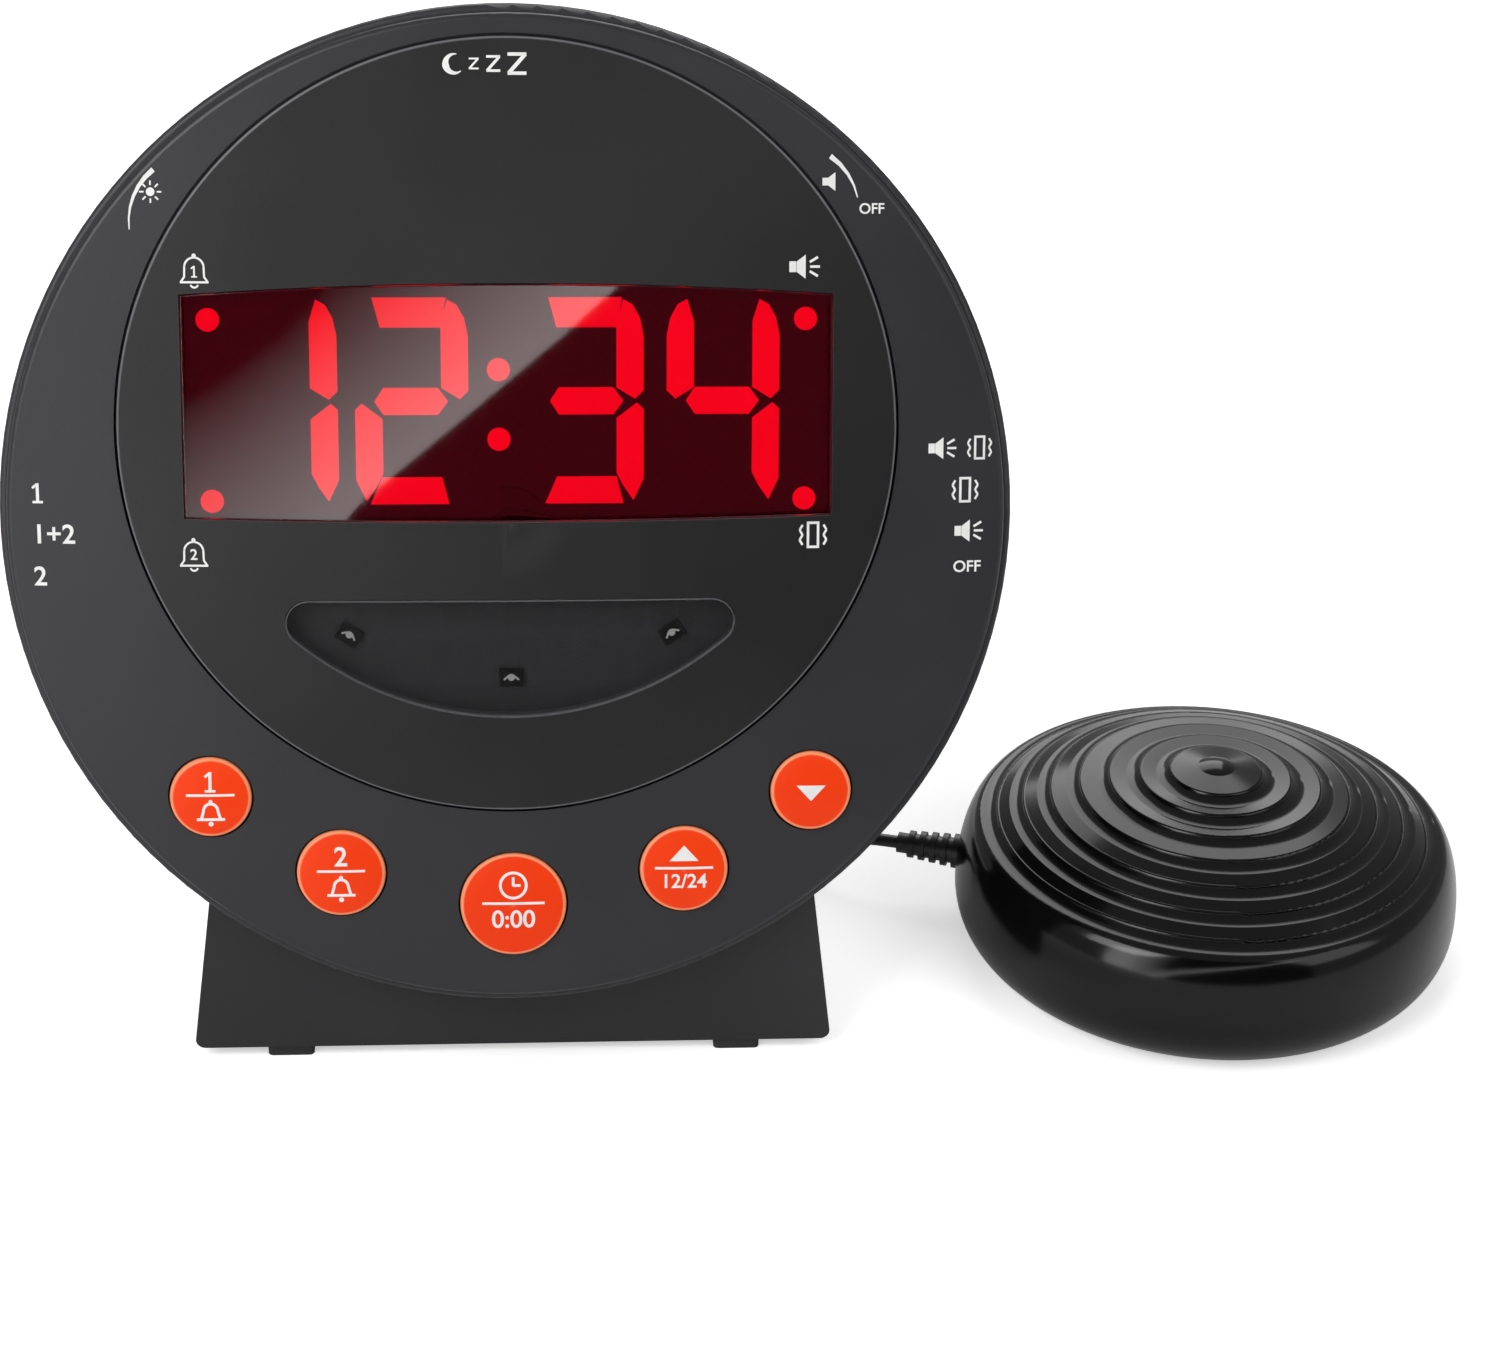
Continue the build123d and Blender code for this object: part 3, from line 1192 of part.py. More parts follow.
def motor_clamp():
    """The strap that holds the motor down on its cradle."""
    middle = MOTOR_END + MOTOR_L / 2
    strap = motor_form(MOTOR_R + CLAMP_T, middle - CLAMP_W / 2, middle + CLAMP_W / 2)
    ears = block(middle - CLAMP_W / 2, middle + CLAMP_W / 2, -MOTOR_R - CLAMP_EAR, MOTOR_R + CLAMP_EAR,
                 MOTOR_Z - CLAMP_T, MOTOR_Z)
    above = block(-PUCK_R, PUCK_R, -PUCK_R, PUCK_R, MOTOR_Z - CLAMP_T, PUCK_H)
    place = Pos(PUCK_X, PUCK_Y, 0)
    strap = (strap & place * above) + place * ears
    strap -= motor_form(MOTOR_R + FIT / 2, middle - CLAMP_W, middle + CLAMP_W)
    for side in (-1, 1):
        x, y = clamp_screw(side)
        strap -= post(SCREW_R + FIT, 0, PUCK_H, x, y)
    return strap


def clamp_screws():
    """The two screws of the motor clamp, pointing down."""
    screws = []
    for side in (-1, 1):
        x, y = clamp_screw(side)
        top = MOTOR_Z + SCREW_HEAD_T
        screw = post(SCREW_HEAD_R, MOTOR_Z, top, x, y)
        screw += post(SCREW_R - FIT, MOTOR_Z - SCREW_L / 2, MOTOR_Z, x, y)
        screws.append(screw)
    return group(screws)


def shaker_foot():
    """The rubber ring under the puck."""
    ring = post(PUCK_FOOT_R, 0, PUCK_FOOT_T, PUCK_X, PUCK_Y)
    return ring - post(PUCK_FOOT_R - PUCK_FOOT_W, -OVERRUN, PUCK_FOOT_T + OVERRUN, PUCK_X, PUCK_Y)


def shaker_screws():
    """The three screws that close the puck from below."""
    low = PUCK_FLOOR + SCREW_SINK
    return group([floor_screw(x, y, low, PUCK_SCREW_L + WALL) for x, y in puck_posts()])


def exit_direction():
    """The way the cord leaves the puck: to the left and a little back."""
    turn = math.radians(EXIT_ANGLE)
    return Vector(-math.cos(turn), math.sin(turn), 0)


def exit_point(distance):
    """A place on the cord's way out, at a distance from the puck's middle."""
    return Vector(PUCK_X, PUCK_Y, EXIT_Z) + exit_direction() * distance


def relief_hole():
    """The hole for the strain relief's neck, through the puck's wall."""
    plane = Plane(origin=exit_point(PUCK_R - 3 * PUCK_WALL), z_dir=exit_direction())
    radius = RELIEF_R0 * RELIEF_NECK + FIT
    return plane.location * Pos(0, 0, 2 * PUCK_WALL) * Cylinder(radius, 4 * PUCK_WALL)


def ribbed_relief(length, first_r, last_r, neck):
    """A tapering strain relief along z, with ribs, and a plain neck below it."""
    pitch = length / (RELIEF_RIBS + 1 / 2)
    outline = [(0, -neck), (first_r * RELIEF_NECK, -neck)]
    if neck:
        outline.append((first_r * RELIEF_NECK, 0))
    for rib in range(RELIEF_RIBS):
        share = rib / (RELIEF_RIBS - 1)
        radius = first_r + (last_r - first_r) * share
        low = rib * pitch
        outline += [(radius, low), (radius, low + pitch / 2)]
        outline += [(radius * RELIEF_NECK, low + pitch / 2), (radius * RELIEF_NECK, low + pitch)]
    outline += [(last_r * RELIEF_NECK, length), (0, length)]
    return revolve(Plane.XZ * make_face(Polyline(*outline, close=True)), Axis.Z)


def strain_relief():
    """The ribbed strain relief where the cord leaves the puck."""
    relief = ribbed_relief(RELIEF_L, RELIEF_R0, RELIEF_R1, PUCK_WALL + RELIEF_COLLAR)
    return Plane(origin=exit_point(PUCK_R), z_dir=exit_direction()).location * relief


def plug_start():
    """Depth where the plug's body starts, just off the rear cover."""
    return BACK_Y + COVER_T + PLUG_SEAT


def plug():
    """The plug's moulded body with its ribbed strain relief."""
    start = plug_start()
    body = disc(PLUG_R, start, start + PLUG_L)
    body = round_circle(body, PLUG_R, start, PLUG_SEAT)
    body = round_circle(body, PLUG_R, start + PLUG_L, PLUG_R / 4)
    relief = ribbed_relief(PLUG_RELIEF_L, RELIEF_R0, RELIEF_R1, PLUG_R)
    body += Pos(0, start + PLUG_L, 0) * Rot(-90, 0, 0) * relief
    return Pos(SHAKER_JACK_X, 0, JACK_Z) * body


def plug_tip():
    """The plug's metal pin, in its socket."""
    start = plug_start()
    return disc(PLUG_TIP_R, start - PLUG_SEAT - PLUG_TIP_L, start, SHAKER_JACK_X, JACK_Z)


def plug_axis_point(distance):
    """A place behind the plug's relief, on its axis, in the clock's own upright frame."""
    local = Location((SHAKER_JACK_X, plug_start() + PLUG_L + PLUG_RELIEF_L + distance, JACK_Z))
    return (HEAD * local).position


def coil_levels():
    """Radius and layer height at each crossing of the coil's x axis, in order along the cord."""
    half_steps = 2 * COIL_TURNS
    inward = [COIL_INNER + (half_steps - n) * COIL_PITCH / 2 for n in range(half_steps + 1)]
    levels = []
    for layer in range(COIL_LAYERS):
        radii = inward if layer % 2 == 0 else inward[::-1]
        levels += [(radius, COIL_Z + layer * COIL_LAYER) for radius in radii]
    return levels[:-1]


def coil_point(index, radius, height):
    """The crossing with this index: even ones lie on the coil's right, odd ones on its left."""
    side = 1 if index % 2 == 0 else -1
    return Vector(COIL_X + side * radius, COIL_Y, height)


def half_turn(index, start, end):
    """Half a turn about the coil: the even ones pass behind its middle, the odd ones before."""
    side = 1 if index % 2 == 0 else -1
    middle = (start + end) / 2 + Vector(0, side * (end - start).length / 2, 0)
    return ThreePointArc(start, middle, end)


def coil_path():
    """The coil as one run of tangent half turns, with a straight end at both ends."""
    places = [coil_point(n, radius, height) for n, (radius, height) in enumerate(coil_levels())]
    arcs = [half_turn(n, places[n], places[n + 1]) for n in range(len(places) - 1)]
    first = Line(places[0] - Vector(0, CORD_D, 0), places[0])
    last = Line(places[-1], places[-1] + Vector(0, CORD_D, 0))
    return Wire([*first.edges(), *[edge for arc in arcs for edge in arc.edges()], *last.edges()])


def lead_points():
    """The cord's route from the puck's relief to the coil."""
    start = coil_point(0, *coil_levels()[0]) - Vector(0, CORD_D, 0)
    end = exit_point(PUCK_R + RELIEF_L)
    after = end + exit_direction() * LEAD_FIRST_RUN
    before = start - Vector(0, LEAD_LAST_RUN, 0)
    return [end, after, *[Vector(*point) for point in LEAD_POINTS], before, start]


def tail_points():
    """The cord's route from the coil to the plug's relief."""
    last = len(coil_levels()) - 1
    start = coil_point(last, *coil_levels()[last]) + Vector(0, CORD_D, 0)
    after = start + Vector(0, TAIL_FIRST_RUN, 0)
    middle = [Vector(*point) for point in TAIL_POINTS]
    return [start, after, *middle, plug_axis_point(TAIL_LAST_RUN), plug_axis_point(0)]


def arc_radii(points):
    """The radius of each corner of a route: as large as its two runs allow."""
    radii = []
    for before, at, after in zip(points, points[1:], points[2:]):
        turn = math.radians((at - before).get_angle(after - at))
        shorter = min((at - before).length, (after - at).length)
        radii.append(RADIUS_SHARE * shorter / math.tan(turn / 2))
    return radii


def tube(path):
    """A round cord along a path."""
    start = Plane(origin=path @ 0, z_dir=path % 0)
    return sweep(start * Circle(CORD_R), path=path)


def free_cord(name, points):
    """A free stretch of cord; prints its radii and length."""
    radii = arc_radii(points)
    path = Wire(FilletPolyline(*points, radius=radii).edges())
    print(name, "radii", [round(radius, 1) for radius in radii], "length", round(path.length, 1))
    solid = tube(path)
    print(name, "volume over section times length", solid.volume / (math.pi * CORD_R**2 * path.length))
    return solid


def least_gap(path):
    """The least gap between turns of the coil, measured on points along its path."""
    count = int(path.length / CORD_R)
    points = [path @ (n / count) for n in range(count + 1)]
    skip = int(math.pi * COIL_INNER / 2 / (path.length / count))
    least = path.length
    for n, one in enumerate(points):
        for other in points[n + skip:]:
            least = min(least, (other - one).length)
    return least - CORD_D


def cord_coil():
    """The coil of spare cord; prints its length and its least gap."""
    path = coil_path()
    print("coil length", round(path.length, 1), "least gap", round(least_gap(path), 3))
    solid = tube(path)
    print("coil volume over section times length", solid.volume / (math.pi * CORD_R**2 * path.length))
    return solid


def cord_tie():
    """The tie round the coil's left side."""
    reach = CORD_R + TIE_GAP
    outer_r = COIL_INNER + COIL_TURNS * COIL_PITCH + reach
    inner_r = COIL_INNER - reach
    low = COIL_Z - reach
    high = COIL_Z + (COIL_LAYERS - 1) * COIL_LAYER + reach
    half = TIE_W / 2
    tie = block(COIL_X - outer_r - TIE_T, COIL_X - inner_r + TIE_T, COIL_Y - half, COIL_Y + half,
                low - TIE_T, high + TIE_T)
    tie = fillet(tie.edges().filter_by(Axis.Y), TIE_T)
    return tie - block(COIL_X - outer_r, COIL_X - inner_r, COIL_Y - TIE_W, COIL_Y + TIE_W, low, high)


def head_parts():
    """Every piece of the head, in the head's own frame."""
    parts = {
        "front_bezel": front_bezel(),
        "front_panel": front_panel(),
        "display_lens": lens(window_outline, -LENS_RECESS),
        "alert_lens": lens(alert_outline, ALERT_PROUD, ALERT_BOARD_Y),
        "display_module": module_box(MODULE_MARGIN, MODULE_Y, MODULE_Y + MODULE_DEPTH),
        "lit_segments": lit_segments(),
        "display_board": display_board(),
        "alert_board": alert_board(),
        "alert_leds": alert_leds(),
        "key_board": key_board(),
        "tact_switches": group([tact_switches(), upright(tact_body())]),
        "main_housing": main_housing(),
        "rear_cover": rear_cover(),
        "battery_door": battery_door(),
        "backup_cell": backup_cell(),
        "case_screws": case_screws(),
        "dc_jack": socket(DC_X, DC_BORE, DC_DEPTH, DC_PIN_R),
        "shaker_jack": socket(SHAKER_JACK_X, JACK_BORE, PLUG_TIP_L + PLUG_SEAT),
        "speaker_frame": speaker_frame(),
        "speaker_cone": speaker_cone(),
        "main_board": main_board(),
        "snooze_bar": snooze_bar(),
        "snooze_plunger": upright(tact_plunger()),
        "snooze_board": snooze_board(),
        "dimmer_wheel": thumb_wheel(-1),
        "volume_wheel": thumb_wheel(1),
        "wheel_pots": group([pot(-1), pot(1)]),
        "alarm_switch": slide_switch(-1, ALARM_Z, ALARM_STEPS),
        "alarm_slider": slide_knob(-1, ALARM_Z, ALARM_STEPS, 0),
        "mode_switch": slide_switch(1, MODE_Z, MODE_STEPS),
        "mode_slider": slide_knob(1, MODE_Z, MODE_STEPS, MODE_STEPS * STEP / 2),
        "plug": plug(),
        "plug_tip": plug_tip(),
    }
    for name, (x, z), radius in key_places():
        parts["key_" + name] = key_cap((x, z), radius)
        parts["plunger_" + name] = Pos(x, KEY_BOARD_Y, z) * tact_plunger()
    return parts


def floor_parts():
    """Every piece that stands or lies upright: the stand, the puck and the cord."""
    return {
        "stand": stand(),
        "base_plate": base_plate(),
        "rubber_feet": rubber_feet(),
        "stand_screws": stand_screws(),
        "shaker_top": shaker_top(),
        "shaker_base": shaker_base(),
        "shaker_foot": shaker_foot(),
        "shaker_screws": group([shaker_screws(), clamp_screws()]),
        "shaker_motor": shaker_motor(),
        "motor_shaft": motor_shaft(),
        "eccentric_weight": eccentric_weight(),
        "motor_clamp": motor_clamp(),
        "strain_relief": strain_relief(),
        "cord_lead": free_cord("lead", lead_points()),
        "cord_coil": cord_coil(),
        "cord_tail": free_cord("tail", tail_points()),
        "cord_tie": cord_tie(),
    }


CORD_NODES = ("cord_lead", "cord_coil", "cord_tail", "cord_tie", "plug", "plug_tip")


def build():
    """All pieces in the part's own frame, with the origin in the middle of its footprint."""
    parts = {name: HEAD * shape for name, shape in head_parts().items()}
    parts.update(floor_parts())
    boxes = [shape.bounding_box() for name, shape in parts.items() if name not in CORD_NODES]
    middle_x = (min(box.min.X for box in boxes) + max(box.max.X for box in boxes)) / 2
    middle_y = (min(box.min.Y for box in boxes) + max(box.max.Y for box in boxes)) / 2
    print("origin of the upright frame", round(-middle_x, 4), round(-middle_y, 4))
    return {name: Pos(-middle_x, -middle_y, 0) * shape for name, shape in parts.items()}


def main():
    """Write one file for each piece."""
    os.makedirs("parts", exist_ok=True)
    for name, shape in build().items():
        export_step(shape, f"parts/{name}.step")


if __name__ == "__main__":
    main()
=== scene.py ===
"""The looks of a round tilted bedside clock and its shaker puck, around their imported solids.

Sizes are in millimetres, but the studio's are in metres.
"""

import json
import logging
import math
from dataclasses import dataclass, field
from enum import Enum
from functools import partial
from typing import Any, Callable, Iterable, Optional

import bmesh
import bpy
from mathutils import Matrix, Vector

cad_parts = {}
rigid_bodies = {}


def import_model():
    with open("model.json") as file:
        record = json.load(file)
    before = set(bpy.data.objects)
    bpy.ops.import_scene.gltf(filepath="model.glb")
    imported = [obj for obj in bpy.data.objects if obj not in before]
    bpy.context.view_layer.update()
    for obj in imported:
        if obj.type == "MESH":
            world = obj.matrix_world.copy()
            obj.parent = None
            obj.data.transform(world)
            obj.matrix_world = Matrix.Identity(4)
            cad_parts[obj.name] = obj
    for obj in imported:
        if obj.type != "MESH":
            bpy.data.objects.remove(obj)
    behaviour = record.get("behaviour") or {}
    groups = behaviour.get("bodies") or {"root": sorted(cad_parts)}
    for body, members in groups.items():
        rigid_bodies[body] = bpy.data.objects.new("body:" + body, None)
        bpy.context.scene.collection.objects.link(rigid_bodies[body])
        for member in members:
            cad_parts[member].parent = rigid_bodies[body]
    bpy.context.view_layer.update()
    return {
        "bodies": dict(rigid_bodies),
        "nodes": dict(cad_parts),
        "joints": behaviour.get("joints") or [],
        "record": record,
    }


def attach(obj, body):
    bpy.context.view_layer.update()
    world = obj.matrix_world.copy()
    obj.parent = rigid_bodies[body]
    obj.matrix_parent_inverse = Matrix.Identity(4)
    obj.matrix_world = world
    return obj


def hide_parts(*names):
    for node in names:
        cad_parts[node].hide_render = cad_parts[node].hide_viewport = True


LOG = logging.getLogger("bedside_clock")

Colour = tuple[float, float, float, float]
Place = tuple[float, float, float]
Spot = tuple[float, float]
Tree = bpy.types.NodeTree
Socket = bpy.types.NodeSocket

MM = 0.001
WHITE: Colour = (1.0, 1.0, 1.0, 1.0)
TILT = math.radians(18.0)

# Where the clock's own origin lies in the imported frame, and how high its face's middle is.
ORIGIN = Vector((-40.2, -19.6893, 0.0))
HEAD_HEIGHT = 88.0
# Turns the leaning head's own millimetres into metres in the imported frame.
HEAD = (
    Matrix.Translation((ORIGIN + Vector((0, 0, HEAD_HEIGHT))) * MM)
    @ Matrix.Rotation(-TILT, 4, "X")
    @ Matrix.Scale(MM, 4)
)
# The way the face looks.
FACE_WAY: Place = (0.0, -math.cos(TILT), math.sin(TILT))

# The face's shallow dome, the panel that stands proud of it, and the alert lamps behind it.
DOME_RADIUS = 682.805
DOME_FRONT = -5.6
PANEL_PROUD = 0.7
LAMP_FRONT = -2.2

# Solids that touch the back of a clear window, and how far their faces are drawn off it.
BEHIND_WINDOWS = ("alert_board",)
WINDOW_CLEARANCE = 0.03

# Where a slow noise leaves the first of two shades and reaches the second.
DRIFT_BAND: Spot = (0.35, 0.65)
GLOW_BAND: Spot = (0.3, 0.7)
# How squarely a surface faces front where its painted edge highlight starts, and where it is
# full.
EDGE_HIGHLIGHT_START, EDGE_HIGHLIGHT_FULL = 0.97, 0.85
# Layers of finer noise in a grain, a colour's drift, a metal's lines and the marks of handling.
GRAIN_DETAIL, DRIFT_DETAIL, LINE_DETAIL, HANDLING_DETAIL = 1.0, 2.0, 2.0, 4.0
# Rows of the brick pattern in one unit of its scale.
BRICK_ROWS = 4

# How finely the printed signs are drawn.
DISC_SEGMENTS = 28
ARC_STEP_DEGREES = 9
FULL_TURN_DEGREES = 360
FEWEST_ARC_STEPS = 4
# A figure's height as a share of the typeface's size, and how much its strokes are thickened.
FIGURE_SHARE = 0.7
FIGURE_SWELL = 0.02
# Breadths of the signs' strokes.
FINE_LINE, RAY_LINE, WAVE_LINE, WIRE_LINE = 0.3, 0.24, 0.26, 0.22
BELL_LINE, BELL_RIM = 0.32, 0.34
KEY_LINE, KEY_BAR, TIME_BAR = 0.42, 0.38, 0.4
WEDGE_LINE, WEDGE_END = 0.75, 0.2
# Breadths of a sleep zigzag's level and slanting strokes, as shares of its size.
ZIGZAG_LEVEL, ZIGZAG_SLANT = 0.18, 0.2


def linear(hex_colour: str) -> Colour:
    """Turns an sRGB hex colour to Blender's linear one, by the sRGB standard's own figures.

    Args:
        hex_colour: Six hex digits, with or without a leading mark.

    Returns:
        Linear red, green and blue, and an alpha of 1.
    """
    digits = hex_colour.lstrip("#")
    channels = [int(digits[place:place + 2], 16) / 255 for place in (0, 2, 4)]
    toned = [c / 12.92 if c <= 0.04045 else ((c + 0.055) / 1.055) ** 2.4 for c in channels]
    return (toned[0], toned[1], toned[2], 1.0)


def per_metre(millimetres: float) -> float:
    """The scale of a pattern whose features are this many millimetres apart."""
    return 1 / (millimetres * MM)


def add_node(
    tree: Tree,
    kind: str,
    settings: Optional[dict[str, Any]] = None,
    values: Optional[dict[Any, Any]] = None,
    links: Optional[dict[Any, Socket]] = None,
) -> bpy.types.Node:
    """Adds one node with its settings, values and links.

    Args:
        tree: The node tree that gets the node.
        kind: The node's type name.
        settings: The node's own properties.
        values: What its input sockets are set to, by socket name or number.
        links: The sockets that feed its inputs, by socket name or number.

    Returns:
        The new node.
    """
    made = tree.nodes.new(kind)
    for name, value in (settings or {}).items():
        setattr(made, name, value)
    for name, value in (values or {}).items():
        made.inputs[name].default_value = value
    for name, socket in (links or {}).items():
        tree.links.new(socket, made.inputs[name])
    return made


def bare_material(name: str) -> bpy.types.Material:
    """A new material whose node tree is empty.

    Args:
        name: The material's name.

    Returns:
        The material.
    """
    material = bpy.data.materials.new(name)
    material.use_nodes = True
    material.node_tree.nodes.clear()
    return material


@dataclass(frozen=True)
class Finish:
    """A finish: a shader whose colour drifts a little and whose surface has a fine grain.

    The grain of a moulded part is 0.1 to 0.3 mm across. It is drawn as coarse as it
    needs to be to show from half a metre.
    """

    name: str
    colour: str
    drift_colour: str
    roughness: float
    metallic: float = 0.0
    ior: Optional[float] = None
    specular: float = 0.5
    grain_mm: float = 0.5
    grain_depth_mm: float = 0.0
    drift_mm: float = 30.0
    roughness_drift: float = 0.04
    # The colour of a painted highlight on the rounded edges, if it has one.
    edge_colour: Optional[str] = None

    def pattern(self, tree: Tree, feature_mm: float, detail: float) -> Socket:
        """Adds a noise on the piece's own coordinates.

        Args:
            tree: The node tree.
            feature_mm: The size of its features.
            detail: How many layers of finer noise it has.

        Returns:
            The noise's value.
        """
        place = add_node(tree, "ShaderNodeTexCoord")
        noise = add_node(
            tree, "ShaderNodeTexNoise",
            values={"Scale": per_metre(feature_mm), "Detail": detail},
            links={"Vector": place.outputs["Object"]},
        )
        return noise.outputs["Fac"]

    def drifting(self, tree: Tree, shades: tuple[Colour, Colour], band: Spot) -> Socket:
        """Lets a colour drift slowly between two shades.

        Args:
            tree: The node tree.
            shades: The two linear colours.
            band: Where the drift leaves the first shade and reaches the second.

        Returns:
            The colour.
        """
        drift = self.pattern(tree, self.drift_mm, DRIFT_DETAIL)
        ramp = add_node(tree, "ShaderNodeValToRGB", links={"Fac": drift})
        for element, place, shade in zip(ramp.color_ramp.elements, band, shades):
            element.position = place
            element.color = shade
        return ramp.outputs["Color"]

    def colour_socket(self, tree: Tree) -> Socket:
        """Lets the colour drift between its two shades, with a painted highlight on the edges
        if it has one.

        Args:
            tree: The node tree.

        Returns:
            The colour.
        """
        shades = (linear(self.colour), linear(self.drift_colour))
        plain = self.drifting(tree, shades, DRIFT_BAND)
        return self.with_painted_edge_highlight(tree, plain) if self.edge_colour else plain

    def with_painted_edge_highlight(self, tree: Tree, plain: Socket) -> Socket:
        """Paints a highlight on the rounded edges, where the surface turns away from the
        clock's front.

        Args:
            tree: The node tree.
            plain: The colour of the rest.

        Returns:
            The colour.
        """
        place = add_node(tree, "ShaderNodeTexCoord")
        facing = add_node(
            tree, "ShaderNodeVectorMath", {"operation": "DOT_PRODUCT"}, {1: FACE_WAY},
            {0: place.outputs["Normal"]},
        )
        turned = add_node(
            tree, "ShaderNodeMapRange",
            values={"From Min": EDGE_HIGHLIGHT_START, "From Max": EDGE_HIGHLIGHT_FULL},
            links={"Value": facing.outputs["Value"]},
        )
        mixed = add_node(
            tree, "ShaderNodeMixRGB", values={"Color2": linear(self.edge_colour)},
            links={"Fac": turned.outputs["Result"], "Color1": plain},
        )
        return mixed.outputs["Color"]

    def grain_socket(self, tree: Tree) -> Socket:
        """The height of the surface's grain, from 0 to 1."""
        return self.pattern(tree, self.grain_mm, GRAIN_DETAIL)

    def bump_socket(self, tree: Tree) -> Socket:
        """Turns the grain's height into the surface's normal.

        Args:
            tree: The node tree.

        Returns:
            The normal.
        """
        bump = add_node(
            tree, "ShaderNodeBump",
            values={"Strength": 1.0, "Distance": self.grain_depth_mm * MM},
            links={"Height": self.grain_socket(tree)},
        )
        return bump.outputs["Normal"]

    def roughness_socket(self, tree: Tree) -> Socket:
        """Spreads the roughness by the slight unevenness that handling leaves.

        Args:
            tree: The node tree.

        Returns:
            The roughness.
        """
        spread = add_node(
            tree,
            "ShaderNodeMapRange",
            values={
                "To Min": self.roughness - self.roughness_drift,
                "To Max": self.roughness + self.roughness_drift,
            },
            links={"Value": self.pattern(tree, self.drift_mm / 2, HANDLING_DETAIL)},
        )
        return spread.outputs["Result"]

    def dress_shader(self, tree: Tree, shader: bpy.types.Node) -> None:
        """Adds what a kind of finish has beyond colour, grain and roughness."""

    def make(self) -> bpy.types.Material:
        """Makes the material.

        Returns:
            The material, with its shader linked up.
        """
        material = bpy.data.materials.new(self.name)
        material.use_nodes = True
        tree = material.node_tree
        shader = tree.nodes["Principled BSDF"]
        shader.inputs["Metallic"].default_value = self.metallic
        shader.inputs["Specular IOR Level"].default_value = self.specular
        if self.ior is not None:
            shader.inputs["IOR"].default_value = self.ior
        tree.links.new(self.colour_socket(tree), shader.inputs["Base Color"])
        tree.links.new(self.roughness_socket(tree), shader.inputs["Roughness"])
        if self.grain_depth_mm:
            tree.links.new(self.bump_socket(tree), shader.inputs["Normal"])
        self.dress_shader(tree, shader)
        return material


@dataclass(frozen=True)
class ClearPlastic(Finish):
    """Tinted acrylic, moulded with polished faces: light passes and takes its tint."""

    passing: float = 1.0

    def dress_shader(self, tree: Tree, shader: bpy.types.Node) -> None:
        """Lets light through."""
        shader.inputs["Transmission Weight"].default_value = self.passing


@dataclass(frozen=True)
class SmokedPlastic(Finish):
    """Thin smoked acrylic, dark enough to hide what is behind it but for strong shapes."""

    cover: float = 0.6

    def dress_shader(self, tree: Tree, shader: bpy.types.Node) -> None:
        """Covers a share of what is behind."""
        shader.inputs["Alpha"].default_value = self.cover


@dataclass(frozen=True)
class LitPlastic(Finish):
    """A diffusing light pipe over a lamp: it glows evenly, a little weaker in places."""

    glow: str = "#ff0000"
    strength: float = 1.0
    weakest: float = 0.86

    def dress_shader(self, tree: Tree, shader: bpy.types.Node) -> None:
        """Adds the glow.

        Args:
            tree: The node tree.
            shader: The surface's shader.
        """
        red, green, blue, alpha = linear(self.glow)
        dim = (self.weakest * red, self.weakest * green, self.weakest * blue, alpha)
        glow = self.drifting(tree, (dim, (red, green, blue, alpha)), GLOW_BAND)
        tree.links.new(glow, shader.inputs["Emission Color"])
        shader.inputs["Emission Strength"].default_value = self.strength


@dataclass(frozen=True)
class BrushedMetal(Finish):
    """Turned or rolled metal: fine lines run one way, so its highlights are drawn out."""

    metallic: float = 1.0
    line_mm: float = 0.25
    along: Place = (1.0, 12.0, 1.0)

    def grain_socket(self, tree: Tree) -> Socket:
        """Adds the fine lines.

        Args:
            tree: The node tree.

        Returns:
            Their height, from 0 to 1.
        """
        place = add_node(tree, "ShaderNodeTexCoord")
        mapping = add_node(
            tree, "ShaderNodeMapping", values={"Scale": self.along},
            links={"Vector": place.outputs["Object"]},
        )
        noise = add_node(
            tree,
            "ShaderNodeTexNoise",
            values={"Scale": per_metre(self.line_mm) / max(self.along), "Detail": LINE_DETAIL},
            links={"Vector": mapping.outputs["Vector"]},
        )
        return noise.outputs["Fac"]


@dataclass(frozen=True)
class CircuitLaminate(Finish):
    """Glass-epoxy laminate under dark lacquer, with lighter tracks a millimetre or so wide."""

    track_colour: str = "#343437"
    track_mm: float = 2.2
    track_share: float = 0.03

    def colour_socket(self, tree: Tree) -> Socket:
        """Lets the tracks show through the lacquer.

        Args:
            tree: The node tree.

        Returns:
            The colour.
        """
        place = add_node(tree, "ShaderNodeTexCoord")
        bricks = add_node(
            tree,
            "ShaderNodeTexBrick",
            values={
                "Color1": linear(self.colour),
                "Color2": linear(self.drift_colour),
                "Mortar": linear(self.track_colour),
                "Scale": per_metre(self.track_mm * BRICK_ROWS),
                "Mortar Size": self.track_share,
            },
            links={"Vector": place.outputs["Object"]},
        )
        return bricks.outputs["Color"]


def plastic(name: str, colour: str, drift: str, roughness: float, **more: Any) -> Finish:
    """Injection-moulded ABS: an even satin sheen over spark-eroded grain."""
    settings = {"ior": 1.53, "specular": 0.3, "grain_mm": 0.55, "grain_depth_mm": 0.012}
    return Finish(name, colour, drift, roughness, **{**settings, **more})


